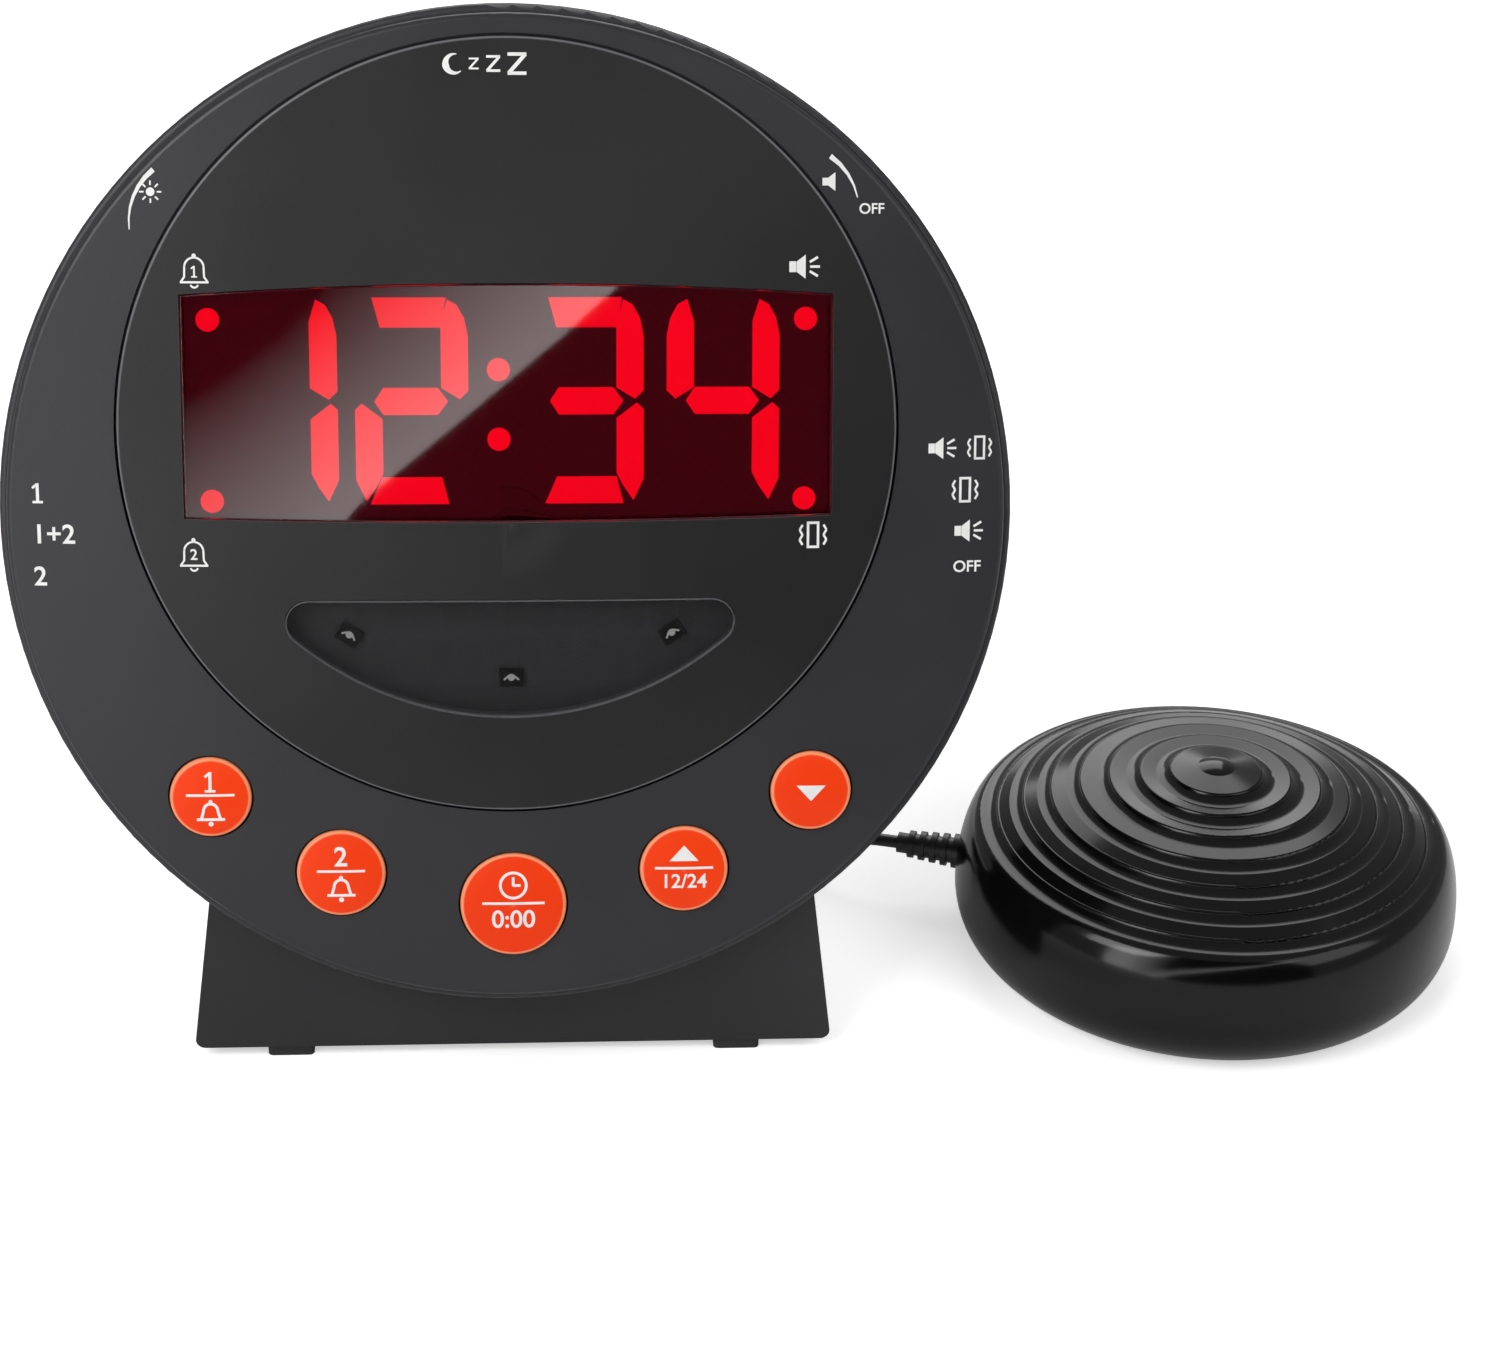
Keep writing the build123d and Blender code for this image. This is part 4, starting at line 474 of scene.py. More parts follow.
class Finishes(Enum):
    """Every finish of the part, each named for the material slot that it dresses."""

    # Charcoal ABS, spark-eroded mould: satin, a slightly cool grey, lighter at grazing angles.
    CHARCOAL_SHELL = plastic("charcoal_abs_shell", "#27272a", "#2b2b2e", 0.46)
    # The bezel's mould is a little smoother, so the domed ring reads apart from the shell.
    CHARCOAL_BEZEL = plastic("charcoal_abs_bezel", "#242427", "#27272a", 0.4)
    # The panel is moulded a shade darker, and its rounded rim carries a painted highlight.
    CHARCOAL_PANEL = plastic(
        "charcoal_abs_panel", "#161617", "#19191a", 0.36, edge_colour="#6c6c70"
    )
    # The stand is moulded in the same resin with a coarser grain, so it looks flatter.
    STAND_PLASTIC = plastic("charcoal_abs_stand", "#202022", "#242426", 0.55, grain_mm=0.7)
    # Red acrylic filter: nearly black with nothing lit, deep red where light comes through.
    RED_LENS = ClearPlastic(
        "red_acrylic_filter", "#e23c5c", "#e03a5a", 0.03, ior=1.49, roughness_drift=0.005
    )
    # Smoked acrylic cover over the alert lamps, a little glossier than the panel round it, with
    # a painted highlight on its edges.
    SMOKE_LENS = SmokedPlastic(
        "smoked_acrylic", "#1c1c1d", "#1f1f20", 0.22, ior=1.49, specular=0.18, cover=0.25,
        edge_colour="#b4b4b8",
    )
    # The display's face behind the filter: matt screen-printed ink, with a faint painted red
    # glow in place of the light that the filter lets in.
    DISPLAY_FACE = LitPlastic(
        "display_ink_painted_glow", "#160303", "#120202", 0.7, glow="#0c0001", drift_mm=60
    )
    # Diffused red lamps: saturated, with hardly any fall-off over a bar.
    LIT_RED = LitPlastic(
        "lit_red_diffuser", "#c80a1c", "#b80818", 0.4, glow="#ff0054", drift_mm=12
    )
    # Moulded black epoxy round each unlit lamp: a dark square with a soft gloss.
    LED_CHIP = plastic("lamp_package", "#050506", "#09090a", 0.3)
    # Circuit boards, etched and lacquered: dark, with faint lighter lines.
    CIRCUIT_BOARD = CircuitLaminate("black_laminate", "#2e2e31", "#303033", 0.5)
    # Orange ABS keys, polished mould: a clean highlight runs round each edge, partly from the
    # gloss and partly painted.
    ORANGE_KEY = plastic(
        "orange_abs_key", "#f23e04", "#ec3803", 0.3, specular=0.16, grain_depth_mm=0.004,
        edge_colour="#ff9a6e",
    )
    # Moulded nylon of switches and jacks: a dull black.
    SWITCH_PLASTIC = plastic("black_nylon", "#1c1c1d", "#202021", 0.5)
    # Moulded acetal plungers: a waxy, slightly warm white.
    PLUNGER_PLASTIC = plastic("white_acetal", "#dedbd2", "#e4e1d9", 0.4)
    # ABS wheels, sliders and snooze bar: a shade darker than the shell, so they stand out.
    CONTROL_PLASTIC = plastic("black_abs_control", "#232325", "#29292b", 0.42)
    # Rolled sheet under bright zinc: a pale, slightly dull sheen drawn out along the rolling.
    SPEAKER_STEEL = BrushedMetal(
        "zinc_plated_steel", "#a8a9a6", "#b4b5b1", 0.34, grain_depth_mm=0.01
    )
    # Pressed paper cone: matt, fibrous and a little mottled.
    SPEAKER_PAPER = Finish(
        "pressed_paper", "#1d1c1b", "#2a2826", 0.85, grain_mm=0.9, grain_depth_mm=0.05,
        drift_mm=3,
    )
    # Turned screws, blackened: dark metal with a tight glint.
    SCREW_STEEL = BrushedMetal(
        "black_oxide_steel", "#3b3b3d", "#48484a", 0.36, grain_depth_mm=0.01
    )
    # The cell's drawn can, nickel plated: bright and smooth.
    CELL_STEEL = BrushedMetal(
        "nickel_plated_steel", "#c3c4c4", "#cccdcd", 0.25, grain_depth_mm=0.006
    )
    # Moulded rubber feet: matt and soft-looking, with a dusty drift.
    BLACK_RUBBER = Finish(
        "moulded_rubber", "#161616", "#1d1d1d", 0.8, grain_mm=0.6, grain_depth_mm=0.02,
        drift_mm=6,
    )
    # The shaker's ABS is polished more than the clock's: near black, with glossy crests.
    PUCK_PLASTIC = plastic(
        "black_abs_shaker", "#060607", "#09090a", 0.15, specular=0.24, grain_depth_mm=0.001
    )
    # The motor's rolled can: grey metal with lines round it.
    MOTOR_STEEL = BrushedMetal(
        "rolled_steel_can", "#9b9da0", "#a8aaad", 0.3, grain_depth_mm=0.008
    )
    # The eccentric weight, pressed from powder: a dull, slightly rough brass.
    WEIGHT_METAL = BrushedMetal(
        "sintered_brass", "#9f8550", "#ab9058", 0.42, grain_depth_mm=0.02
    )
    # Plasticised PVC jacket: a soft, slightly waxy sheen.
    CORD_JACKET = Finish(
        "pvc_jacket", "#121213", "#19191a", 0.42, ior=1.53, grain_mm=0.8,
        grain_depth_mm=0.012, drift_mm=9,
    )
    # The moulded nylon tie round the spare cord: a dull black like the switches'.
    TIE_PLASTIC = plastic("tie_nylon", "#1a1a1b", "#232324", 0.45)
    # The plug's turned tip, nickel plated: a warm, bright metal.
    PLUG_METAL = BrushedMetal(
        "nickel_plated_brass", "#b9b7b0", "#c4c2bb", 0.22, grain_depth_mm=0.004
    )

    @property
    def slot(self) -> str:
        """The material slot that it dresses."""
        return self.name.lower()


# Pad-printed ink: an opaque off-white film, a little matter than the plastic under it. It also
# paints the glints on the alert lamps' dies and wires.
PRINT_AND_GLINT_INK = Finish(
    "pad_print_and_glint_white", "#e9e9e7", "#dededc", 0.5, grain_mm=0.4, grain_depth_mm=0.004,
    drift_mm=4,
)


def dome_y(x: float, z: float) -> float:
    """Depth of the bezel's dome at a place on it, in the head's own frame."""
    return DOME_FRONT + DOME_RADIUS - math.sqrt(DOME_RADIUS**2 - x * x - z * z)


def panel_y(x: float, z: float) -> float:
    """Depth of the raised front panel at a place on it."""
    return dome_y(x, z) - PANEL_PROUD


def lamp_y(x: float, z: float) -> float:
    """Depth of the alert lamps' front, which is flat, behind the smoked window."""
    return LAMP_FRONT


@dataclass
class Stencil:
    """One flat mark, drawn about its own middle, u to the right and w up."""

    mesh: bmesh.types.BMesh = field(default_factory=bmesh.new)

    def disc(self, u: float, w: float, radius: float) -> None:
        """Fills a round."""
        spot = Matrix.Translation((u, w, 0))
        bmesh.ops.create_circle(
            self.mesh, cap_ends=True, segments=DISC_SEGMENTS, radius=radius, matrix=spot
        )

    def plate(self, *corners: Spot) -> None:
        """Fills an outline through a few corners."""
        self.mesh.faces.new([self.mesh.verts.new((u, w, 0)) for u, w in corners])

    def bar(self, start: Spot, end: Spot, width: float) -> None:
        """Draws a straight stroke.

        Args:
            start: Where it starts.
            end: Where it ends.
            width: How broad it is.
        """
        run = Vector((end[0] - start[0], end[1] - start[1])).normalized() * width / 2
        side = (-run.y, run.x)
        self.plate(
            (start[0] + side[0], start[1] + side[1]),
            (start[0] - side[0], start[1] - side[1]),
            (end[0] - side[0], end[1] - side[1]),
            (end[0] + side[0], end[1] + side[1]),
        )

    def arc(
        self,
        centre: Spot,
        radius: float,
        width: float,
        start: float,
        sweep: float,
        thin_end: float = 1.0,
    ) -> None:
        """Draws a bent stroke, spun about its centre.

        Args:
            centre: The middle of the bend.
            radius: The bend's radius.
            width: How broad the stroke is where it starts.
            start: The angle where it starts, in degrees from the right.
            sweep: The angle it turns through, in degrees.
            thin_end: How broad it is at its end, as a share of the width.
        """
        angle = math.radians(start)
        way = Vector((math.cos(angle), math.sin(angle), 0))
        middle = Vector((*centre, 0))
        ends = [
            self.mesh.verts.new(middle + way * (radius + side * width / 2)) for side in (-1, 1)
        ]
        edge = self.mesh.edges.new(ends)
        steps = max(FEWEST_ARC_STEPS, int(abs(sweep) / ARC_STEP_DEGREES))
        bmesh.ops.spin(
            self.mesh,
            geom=[*ends, edge],
            cent=middle,
            axis=(0, 0, 1),
            angle=math.radians(sweep),
            steps=steps,
            use_merge=abs(sweep) == FULL_TURN_DEGREES,
            use_duplicate=False,
        )
        if thin_end == 1.0:
            return
        self.mesh.verts.ensure_lookup_table()
        for vert in self.mesh.verts[-2 * (steps + 1):]:
            spoke = vert.co - middle
            turned = math.degrees(math.atan2(spoke.y, spoke.x)) - start
            share = abs((turned + 180) % 360 - 180) / abs(sweep)
            slim = 1 + (thin_end - 1) * share
            vert.co = middle + spoke.normalized() * (radius + (spoke.length - radius) * slim)

    def one(self, height: float, u: float, w: float) -> None:
        """Draws the figure 1 with its flag and foot, each stroke a share of its height.

        Args:
            height: The figure's height.
            u: Its middle, to the right.
            w: Its middle, up.
        """
        top, foot, reach = w + height / 2, w - height / 2, height * 0.27
        stem, serif = height * 0.16, height * 0.13
        self.bar((u, foot), (u, top), stem)
        self.bar((u, top - height * 0.04), (u - reach, w + height * 0.24), serif)
        self.bar((u - reach, foot), (u + reach, foot), serif)

    def figures(self, words: str, height: float, u: float = 0.0, w: float = 0.0) -> None:
        """Sets figures in a plain face, centred on a place.

        Args:
            words: The figures.
            height: The height of a figure.
            u: The middle, to the right.
            w: The middle, up.
        """
        if words == "1":
            self.one(height, u, w)
            return
        curve = bpy.data.curves.new("figures", "FONT")
        curve.body = words
        curve.align_x = "CENTER"
        curve.align_y = "CENTER"
        curve.size = height / FIGURE_SHARE
        curve.offset = height * FIGURE_SWELL
        holder = bpy.data.objects.new("figures", curve)
        shape = bpy.data.meshes.new_from_object(holder)
        shape.transform(Matrix.Translation((u, w, 0)))
        self.mesh.from_mesh(shape)
        bpy.data.objects.remove(holder)
        bpy.data.curves.remove(curve)
        bpy.data.meshes.remove(shape)


class Signs(Stencil):
    """The clock's signs. Each method draws one on the stencil, from its own coordinates."""

    def bell(self, number: str) -> None:
        """Draws a bell outline with its clapper and its alarm's number inside.

        Args:
            number: The alarm's number.
        """
        self.arc((0, 0.9), 1.55, BELL_LINE, 8, 164)
        for side in (-1, 1):
            self.bar((side * 1.55, 1.05), (side * 1.6, -0.7), BELL_LINE)
            self.bar((side * 1.6, -0.65), (side * 2.15, -1.45), BELL_LINE)
        self.bar((-2.3, -1.5), (2.3, -1.5), BELL_RIM)
        self.arc((0, -1.75), 0.6, FINE_LINE, 195, 150)
        self.disc(0, 2.75, 0.34)
        self.figures(number, 1.75, 0, 0.25)

    def speaker(self, u: float = 0.0) -> None:
        """Draws a small speaker with three rays.

        Args:
            u: Its middle, to the right.
        """
        self.bar((u - 1.9, 0), (u - 1.05, 0), 1.3)
        self.plate((u - 1.0, -0.62), (u + 0.1, -1.45), (u + 0.1, 1.45), (u - 1.0, 0.62))
        self.bar((u + 0.65, 0), (u + 1.85, 0), FINE_LINE)
        self.bar((u + 0.6, 0.55), (u + 1.6, 1.15), FINE_LINE)
        self.bar((u + 0.6, -0.55), (u + 1.6, -1.15), FINE_LINE)

    def shaker(self, u: float = 0.0) -> None:
        """Draws a block that shakes: an upright frame with a wavy stroke at each side.

        Args:
            u: Its middle, to the right.
        """
        for side in (-1, 1):
            self.bar((u + side * 0.6, -1.45), (u + side * 0.6, 1.45), FINE_LINE)
            self.bar((u - 0.75, side * 1.45), (u + 0.75, side * 1.45), FINE_LINE)
            corners = [(1.25, 1.2), (1.6, 0.6), (1.25, 0.0), (1.6, -0.6), (1.25, -1.2)]
            for (first_u, first_w), (last_u, last_w) in zip(corners, corners[1:]):
                start, end = (u + side * first_u, first_w), (u + side * last_u, last_w)
                self.bar(start, end, WAVE_LINE)

    def speaker_and_shaker(self) -> None:
        """Draws the speaker and the shaking block side by side."""
        self.speaker(-2.6)
        self.shaker(2.4)

    def zigzag(self, u: float, size: float) -> None:
        """Draws one zigzag of the sign for sleep.

        Args:
            u: Its middle, to the right.
            size: Its height.
        """
        half = size / 2
        self.bar((u - half, half), (u + half, half), size * ZIGZAG_LEVEL)
        self.bar((u + half * 0.9, half), (u - half * 0.9, -half), size * ZIGZAG_SLANT)
        self.bar((u - half, -half), (u + half, -half), size * ZIGZAG_LEVEL)

    def sleep(self) -> None:
        """Draws the snooze bar's mark: a crescent, and three growing zigzags beside it."""
        for way in (-1, 1):
            self.arc((-4.6, 0), 1.35, 1.0, 195, way * 115, thin_end=0.12)
        self.zigzag(-1.9, 1.4)
        self.zigzag(0.9, 2.0)
        self.zigzag(4.3, 2.7)

    def brightness(self) -> None:
        """Draws the dimmer wheel's mark: a thinning wedge along the rim, and a small sun."""
        self.arc((6.4, -4.4), 9.6, WEDGE_LINE, 128, 58, thin_end=WEDGE_END)
        self.disc(0, 0, 0.62)
        for ray in range(8):
            way = Vector((math.cos(ray * math.pi / 4), math.sin(ray * math.pi / 4)))
            self.bar(tuple(way * 0.95), tuple(way * 1.6), RAY_LINE)

    def loudness(self) -> None:
        """Draws the volume wheel's mark: a wedge along the rim that thins to OFF."""
        self.arc((-7.3, -4.6), 9.6, WEDGE_LINE, 56, -44, thin_end=WEDGE_END)
        self.bar((-3.1, -0.3), (-2.2, -0.3), 1.1)
        self.plate((-2.25, -0.85), (-1.2, -1.65), (-1.2, 1.05), (-2.25, 0.25))

    def lamp_wire_glints(self) -> None:
        """Draws the die of an unlit lamp and the wires that hold it, as a white painted glint
        on their metal.
        """
        self.bar((-0.9, -0.25), (-0.25, 0.3), WIRE_LINE)
        self.disc(0, 0.05, 0.42)
        self.bar((0.25, 0.3), (0.9, -0.25), WIRE_LINE)

    def alarm_key(self, number: str) -> None:
        """Draws an alarm key's sign: its number over a line, and a bell below.

        Args:
            number: The alarm's number.
        """
        self.figures(number, 2.9, 0, 2.55)
        self.bar((-3.6, 0.45), (3.6, 0.45), KEY_BAR)
        self.disc(0, -0.55, 0.3)
        self.arc((0, -1.9), 1.05, KEY_LINE, 0, 180)
        for side in (-1, 1):
            self.bar((side * 1.05, -1.9), (side * 1.4, -3.15), KEY_LINE)
        self.bar((-2.1, -3.3), (2.1, -3.3), KEY_LINE)
        self.disc(0, -4.0, 0.38)

    def time_key(self) -> None:
        """Draws the time key's sign: a clock face with two hands over a line, and 0:00."""
        self.arc((0, 3.1), 1.95, KEY_LINE, 0, FULL_TURN_DEGREES)
        self.bar((0, 3.0), (0, 4.4), TIME_BAR)
        self.bar((-0.1, 3.1), (1.1, 3.1), TIME_BAR)
        self.bar((-4.7, 0.3), (4.7, 0.3), TIME_BAR)
        self.figures("0:00", 2.7, 0, -2.3)

    def arrow(self, w: float, up: int) -> None:
        """Draws a plain arrow head.

        Args:
            w: Its middle, up.
            up: 1 where it points up, and -1 where it points down.
        """
        self.plate((-2.2, w - up * 0.95), (2.2, w - up * 0.95), (0, w + up * 1.45))

    def up_key(self) -> None:
        """Draws the up key's sign: an arrow over a line, and both hour counts' figures."""
        self.arrow(2.35, 1)
        self.bar((-4.4, 0.3), (4.4, 0.3), KEY_BAR)
        self.figures("12/24", 2.15, 0, -1.85)

    def down_key(self) -> None:
        """Draws the down key's sign."""
        self.arrow(0.0, -1)


@dataclass(frozen=True)
class Mark:
    """One printed mark: what it shows, where it is and what it rides on."""

    name: str
    place: Spot
    draw: Callable[[Signs], None]
    surface: Callable[[float, float], float] = dome_y
    body: str = "clock"
    turn: float = 0.0
    scale: float = 1.0


@dataclass(frozen=True)
class FrontKey:
    """One round key of the face: its angle and distance from the middle, and its sign."""

    name: str
    angle: float
    ring: float
    radius: float
    draw: Callable[[Signs], None]
    proud: float = 1.1
    crown: float = 0.5

    def mark(self) -> Mark:
        """Lays out the mark on the key's crowned face.

        Returns:
            The mark.
        """
        turn = math.radians(self.angle)
        x, z = self.ring * math.sin(turn), -self.ring * math.cos(turn)
        front = dome_y(x, z) - self.proud
        crown_radius = (self.radius**2 + self.crown**2) / (2 * self.crown)

        def surface(at_x: float, at_z: float) -> float:
            """Depth of the key's crowned face."""
            away = (at_x - x) ** 2 + (at_z - z) ** 2
            return front + crown_radius - math.sqrt(crown_radius**2 - away)

        return Mark(f"key_{self.name}", (x, z), self.draw, surface, f"key_{self.name}")


def settle_order(mesh: bmesh.types.BMesh) -> None:
    """Lists a mesh's corners and faces by their places, so that every run lists them alike.

    Args:
        mesh: The mesh.
    """
    for parts, place in (
        (mesh.verts, lambda vert: vert.co[:]),
        (mesh.faces, lambda face: sorted(vert.co[:] for vert in face.verts)),
    ):
        ranks = {part: rank for rank, part in enumerate(sorted(parts, key=place))}
        parts.sort(key=ranks.get)


def finished_mesh(name: str, mesh: bmesh.types.BMesh) -> bpy.types.Object:
    """Makes a flat-shaded piece at the origin from a bmesh in metres.

    Args:
        name: The piece's name.
        mesh: Its shape, which is freed.

    Returns:
        The new object, linked to the scene.
    """
    data = bpy.data.meshes.new(name)
    for face in mesh.faces:
        face.smooth = False
    mesh.to_mesh(data)
    mesh.free()
    piece = bpy.data.objects.new(name, data)
    bpy.context.scene.collection.objects.link(piece)
    return piece


@dataclass
class Legends:
    """Every printed mark of the clock: plain signs and figures, and the painted glints on the
    alert lamps' dies.
    """

    bezel_marks: tuple[Mark, ...] = (
        Mark("snooze", (-2.7, 66.6), Signs.sleep, panel_y),
        Mark("dimmer", (-51.3, 48.2), Signs.brightness),
        Mark("volume", (49.0, 50.0), Signs.loudness),
        Mark("volume_off", (53.2, 45.7), partial(Signs.figures, words="OFF", height=1.5)),
        Mark("alarm_1_on", (-69.0, 4.4), partial(Signs.figures, words="1", height=2.8)),
        Mark("alarm_both_on", (-66.8, -1.9), partial(Signs.figures, words="1+2", height=2.8)),
        Mark("alarm_2_on", (-69.0, -8.2), partial(Signs.figures, words="2", height=2.8)),
        Mark("mode_both", (67.1, 10.4), Signs.speaker_and_shaker, scale=1.12),
        Mark("mode_shake", (67.7, 4.1), Signs.shaker, scale=1.2),
        Mark("mode_sound", (68.4, -2.1), Signs.speaker, scale=1.15),
        Mark("mode_off", (68.2, -7.6), partial(Signs.figures, words="OFF", height=1.7)),
    )
    panel_marks: tuple[Mark, ...] = (
        Mark("bell_1", (-45.2, 36.7), partial(Signs.bell, number="1"), panel_y, scale=0.9),
        Mark("bell_2", (-46.3, -4.8), partial(Signs.bell, number="2"), panel_y, scale=0.9),
        Mark("sound_lamp", (43.3, 37.5), Signs.speaker, panel_y, scale=1.2),
        Mark("shake_lamp", (44.8, -2.1), Signs.shaker, panel_y, scale=1.25),
    )
    # The alert lamps: name, place and turn in degrees. Their dies and wires are printed white,
    # as painted glints.
    dies: tuple[tuple[str, Spot, float], ...] = (
        ("left_die_glint", (-24.0, -17.3), -32.0),
        ("low_die_glint", (0.0, -24.0), 0.0),
        ("right_die_glint", (24.0, -17.3), 32.0),
    )
    die_scale: float = 1.25
    keys: tuple[FrontKey, ...] = (
        FrontKey("alarm1", -47.2, 61.3, 6.1, partial(Signs.alarm_key, number="1")),
        FrontKey("alarm2", -25.7, 59.5, 6.65, partial(Signs.alarm_key, number="2")),
        FrontKey("time", 0.0, 58.8, 8.0, Signs.time_key),
        FrontKey("up", 25.7, 59.5, 6.65, Signs.up_key),
        FrontKey("down", 47.2, 61.3, 6.1, Signs.down_key),
    )
    # The film of ink stands proud of its surface, and its back is sunk in it.
    ink_proud: float = 0.04
    ink_sunk: float = 0.012
    weld_distance: float = 0.001
    # Longer edges are cut, so that the film bends with the dome.
    longest_edge: float = 1.6
    edge_cuts: int = 2

    def die_glint_mark(self, name: str, place: Spot, degrees: float) -> Mark:
        """Lays out the painted glint on one alert lamp's die and wires.

        Args:
            name: The mark's name.
            place: Where the lamp is.
            degrees: How far the lamp is turned.

        Returns:
            The mark.
        """
        turn = math.radians(degrees)
        return Mark(name, place, Signs.lamp_wire_glints, lamp_y, turn=turn, scale=self.die_scale)

    def film(self, mark: Mark, ink: bpy.types.Material) -> bpy.types.Object:
        """Lays one mark on its surface as a thin film of ink.

        Args:
            mark: The mark.
            ink: The ink's material.

        Returns:
            The printed piece, riding on its body.
        """
        signs = Signs()
        mark.draw(signs)
        mesh = signs.mesh
        bmesh.ops.scale(mesh, verts=mesh.verts, vec=(mark.scale, mark.scale, 1.0))
        bmesh.ops.rotate(mesh, verts=mesh.verts, matrix=Matrix.Rotation(mark.turn, 3, "Z"))
        bmesh.ops.remove_doubles(mesh, verts=mesh.verts, dist=self.weld_distance)
        long_edges = [edge for edge in mesh.edges if edge.calc_length() > self.longest_edge]
        bmesh.ops.subdivide_edges(mesh, edges=long_edges, cuts=self.edge_cuts)
        back = list(mesh.faces)
        raised = bmesh.ops.extrude_face_region(mesh, geom=back, use_keep_orig=True)
        front = {item for item in raised["geom"] if isinstance(item, bmesh.types.BMVert)}
        for vert in mesh.verts:
            x = mark.place[0] + vert.co.x
            z = mark.place[1] + vert.co.y
            lift = self.ink_proud if vert in front else -self.ink_sunk
            vert.co = Vector((x, mark.surface(x, z) - lift, z))
        bmesh.ops.recalc_face_normals(mesh, faces=mesh.faces)
        settle_order(mesh)
        bmesh.ops.transform(mesh, verts=mesh.verts, matrix=HEAD)
        piece = finished_mesh(f"print_{mark.name}", mesh)
        piece.data.materials.append(ink)
        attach(piece, mark.body)
        return piece

    def build(self) -> list[bpy.types.Object]:
        """Prints every mark.

        Returns:
            The printed pieces.
        """
        ink = PRINT_AND_GLINT_INK.make()
        dies = [self.die_glint_mark(*die) for die in self.dies]
        keys = [key.mark() for key in self.keys]
        marks = [*self.bezel_marks, *self.panel_marks, *dies, *keys]
        return [self.film(mark, ink) for mark in marks]


@dataclass
class ShakerCord:
    """The thin cord from the shaker to the plug at the clock's back, its spare length coiled.

    Places are in the clock's own frame.
    """

    diameter: float = 2.2
    length: float = 1550.0
    puck: Spot = (114.2, 15.8)
    exit_reach: float = 51.7
    exit_degrees: float = 17.2
    exit_height: float = 9.0
    lead: tuple[Place, ...] = ((50.4, 37.4, 4.6), (42.4, 43.4, 1.5), (34.4, 51.4, 1.6))
    tail: tuple[Place, ...] = (
        (20.6, 103.2, 12.4),
        (9.0, 109.6, 15.4),
        (-4.4, 109.4, 19.6),
        (-15.4, 102.6, 23.4),
        (-20.4, 90.5, 24.4),
    )
    # Straight runs out of the shaker's relief and into the plug's.
    first_run: float = 8.0
    last_run: float = 14.0
    coil_middle: Spot = (8.0, 80.0)
    coil_floor: float = 2.5
    inner: float = 6.8
    pitch: float = 3.2
    layer_height: float = 2.9
    turns: int = 4
    layers: int = 4
    points_a_turn: int = 12
    # The shaker jack across and up the head's back, and how far back the plug's relief ends.
    jack: Spot = (-20.0, -36.0)
    plug_end: float = 75.4
    # How finely the spline and its round section are drawn.
    spline_order: int = 3
    spline_steps: int = 4
    section_steps: int = 3

    def exit_way(self) -> Vector:
        """The way the cord leaves the shaker."""
        turn = math.radians(self.exit_degrees)
        return Vector((-math.cos(turn), math.sin(turn), 0))

    def exit_place(self, further: float = 0.0) -> Vector:
        """A place on the cord's way out of the shaker's relief."""
        middle = Vector((*self.puck, self.exit_height))
        return middle + self.exit_way() * (self.exit_reach + further)

    def coil_levels(self) -> list[Spot]:
        """Lists the coil's radius and height at each half turn, winding in and out by layers.

        Returns:
            The radii with their heights.
        """
        half_turns = 2 * self.turns
        inward = [
            self.inner + (half_turns - step) * self.pitch / 2 for step in range(half_turns + 1)
        ]
        levels: list[Spot] = []
        for layer in range(self.layers):
            radii = inward if layer % 2 == 0 else inward[::-1]
            height = self.coil_floor + layer * self.layer_height
            levels += [(radius, height) for radius in radii]
        return levels[:-1]

    def coil_points(self) -> list[Vector]:
        """Lists the spline's points round the coil, a dozen to a turn.

        Returns:
            The points.
        """
        levels = self.coil_levels()
        half = self.points_a_turn // 2
        draw_in = math.cos(math.pi / self.points_a_turn)
        points = []
        for step in range(half * (len(levels) - 1) + 1):
            before, share = step // half, (step % half) / half
            after = min(before + 1, len(levels) - 1)
            radius = levels[before][0] * (1 - share) + levels[after][0] * share
            height = levels[before][1] * (1 - share) + levels[after][1] * share
            angle = math.pi * step / half
            reach = radius / draw_in
            x = self.coil_middle[0] + reach * math.cos(angle)
            y = self.coil_middle[1] + reach * math.sin(angle)
            points.append(Vector((x, y, height)))
        return points

    def plug_place(self, further: float) -> Vector:
        """Finds a place behind the plug's relief.

        Args:
            further: How far behind it.

        Returns:
            The place.
        """
        depth, height = self.plug_end + further, self.jack[1]
        y = depth * math.cos(TILT) + height * math.sin(TILT)
        z = HEAD_HEIGHT - depth * math.sin(TILT) + height * math.cos(TILT)
        return Vector((self.jack[0], y, z))

    def route(self) -> list[Vector]:
        """Lists the whole cord's points.

        Returns:
            The points from the shaker to the plug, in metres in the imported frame.
        """
        points = [self.exit_place(), self.exit_place(self.first_run)]
        points += [Vector(place) for place in self.lead]
        points += self.coil_points()
        points += [Vector(place) for place in self.tail]
        points += [self.plug_place(self.last_run), self.plug_place(0.0)]
        return [(point + ORIGIN) * MM for point in points]

    def build(self, frame: dict[str, Any]) -> bpy.types.Object:
        """Args:
            frame: The loaded frame; not used.

        Returns:
            The cord.
        """
        curve = bpy.data.curves.new("shaker_cord", "CURVE")
        curve.dimensions = "3D"
        curve.bevel_depth = self.diameter / 2 * MM
        curve.bevel_resolution = self.section_steps
        curve.use_fill_caps = True
        curve.resolution_u = self.spline_steps
        spline = curve.splines.new("NURBS")
        route = self.route()
        spline.points.add(len(route) - 1)
        for point, place in zip(spline.points, route):
            point.co = (*place, 1.0)
        spline.order_u = self.spline_order
        spline.use_endpoint_u = True
        cord = bpy.data.objects.new("shaker_cord", curve)
        bpy.context.scene.collection.objects.link(cord)
        curve.materials.append(Finishes.CORD_JACKET.value.make())
        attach(cord, "clock")
        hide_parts("cord_lead", "cord_coil", "cord_tail")
        return cord


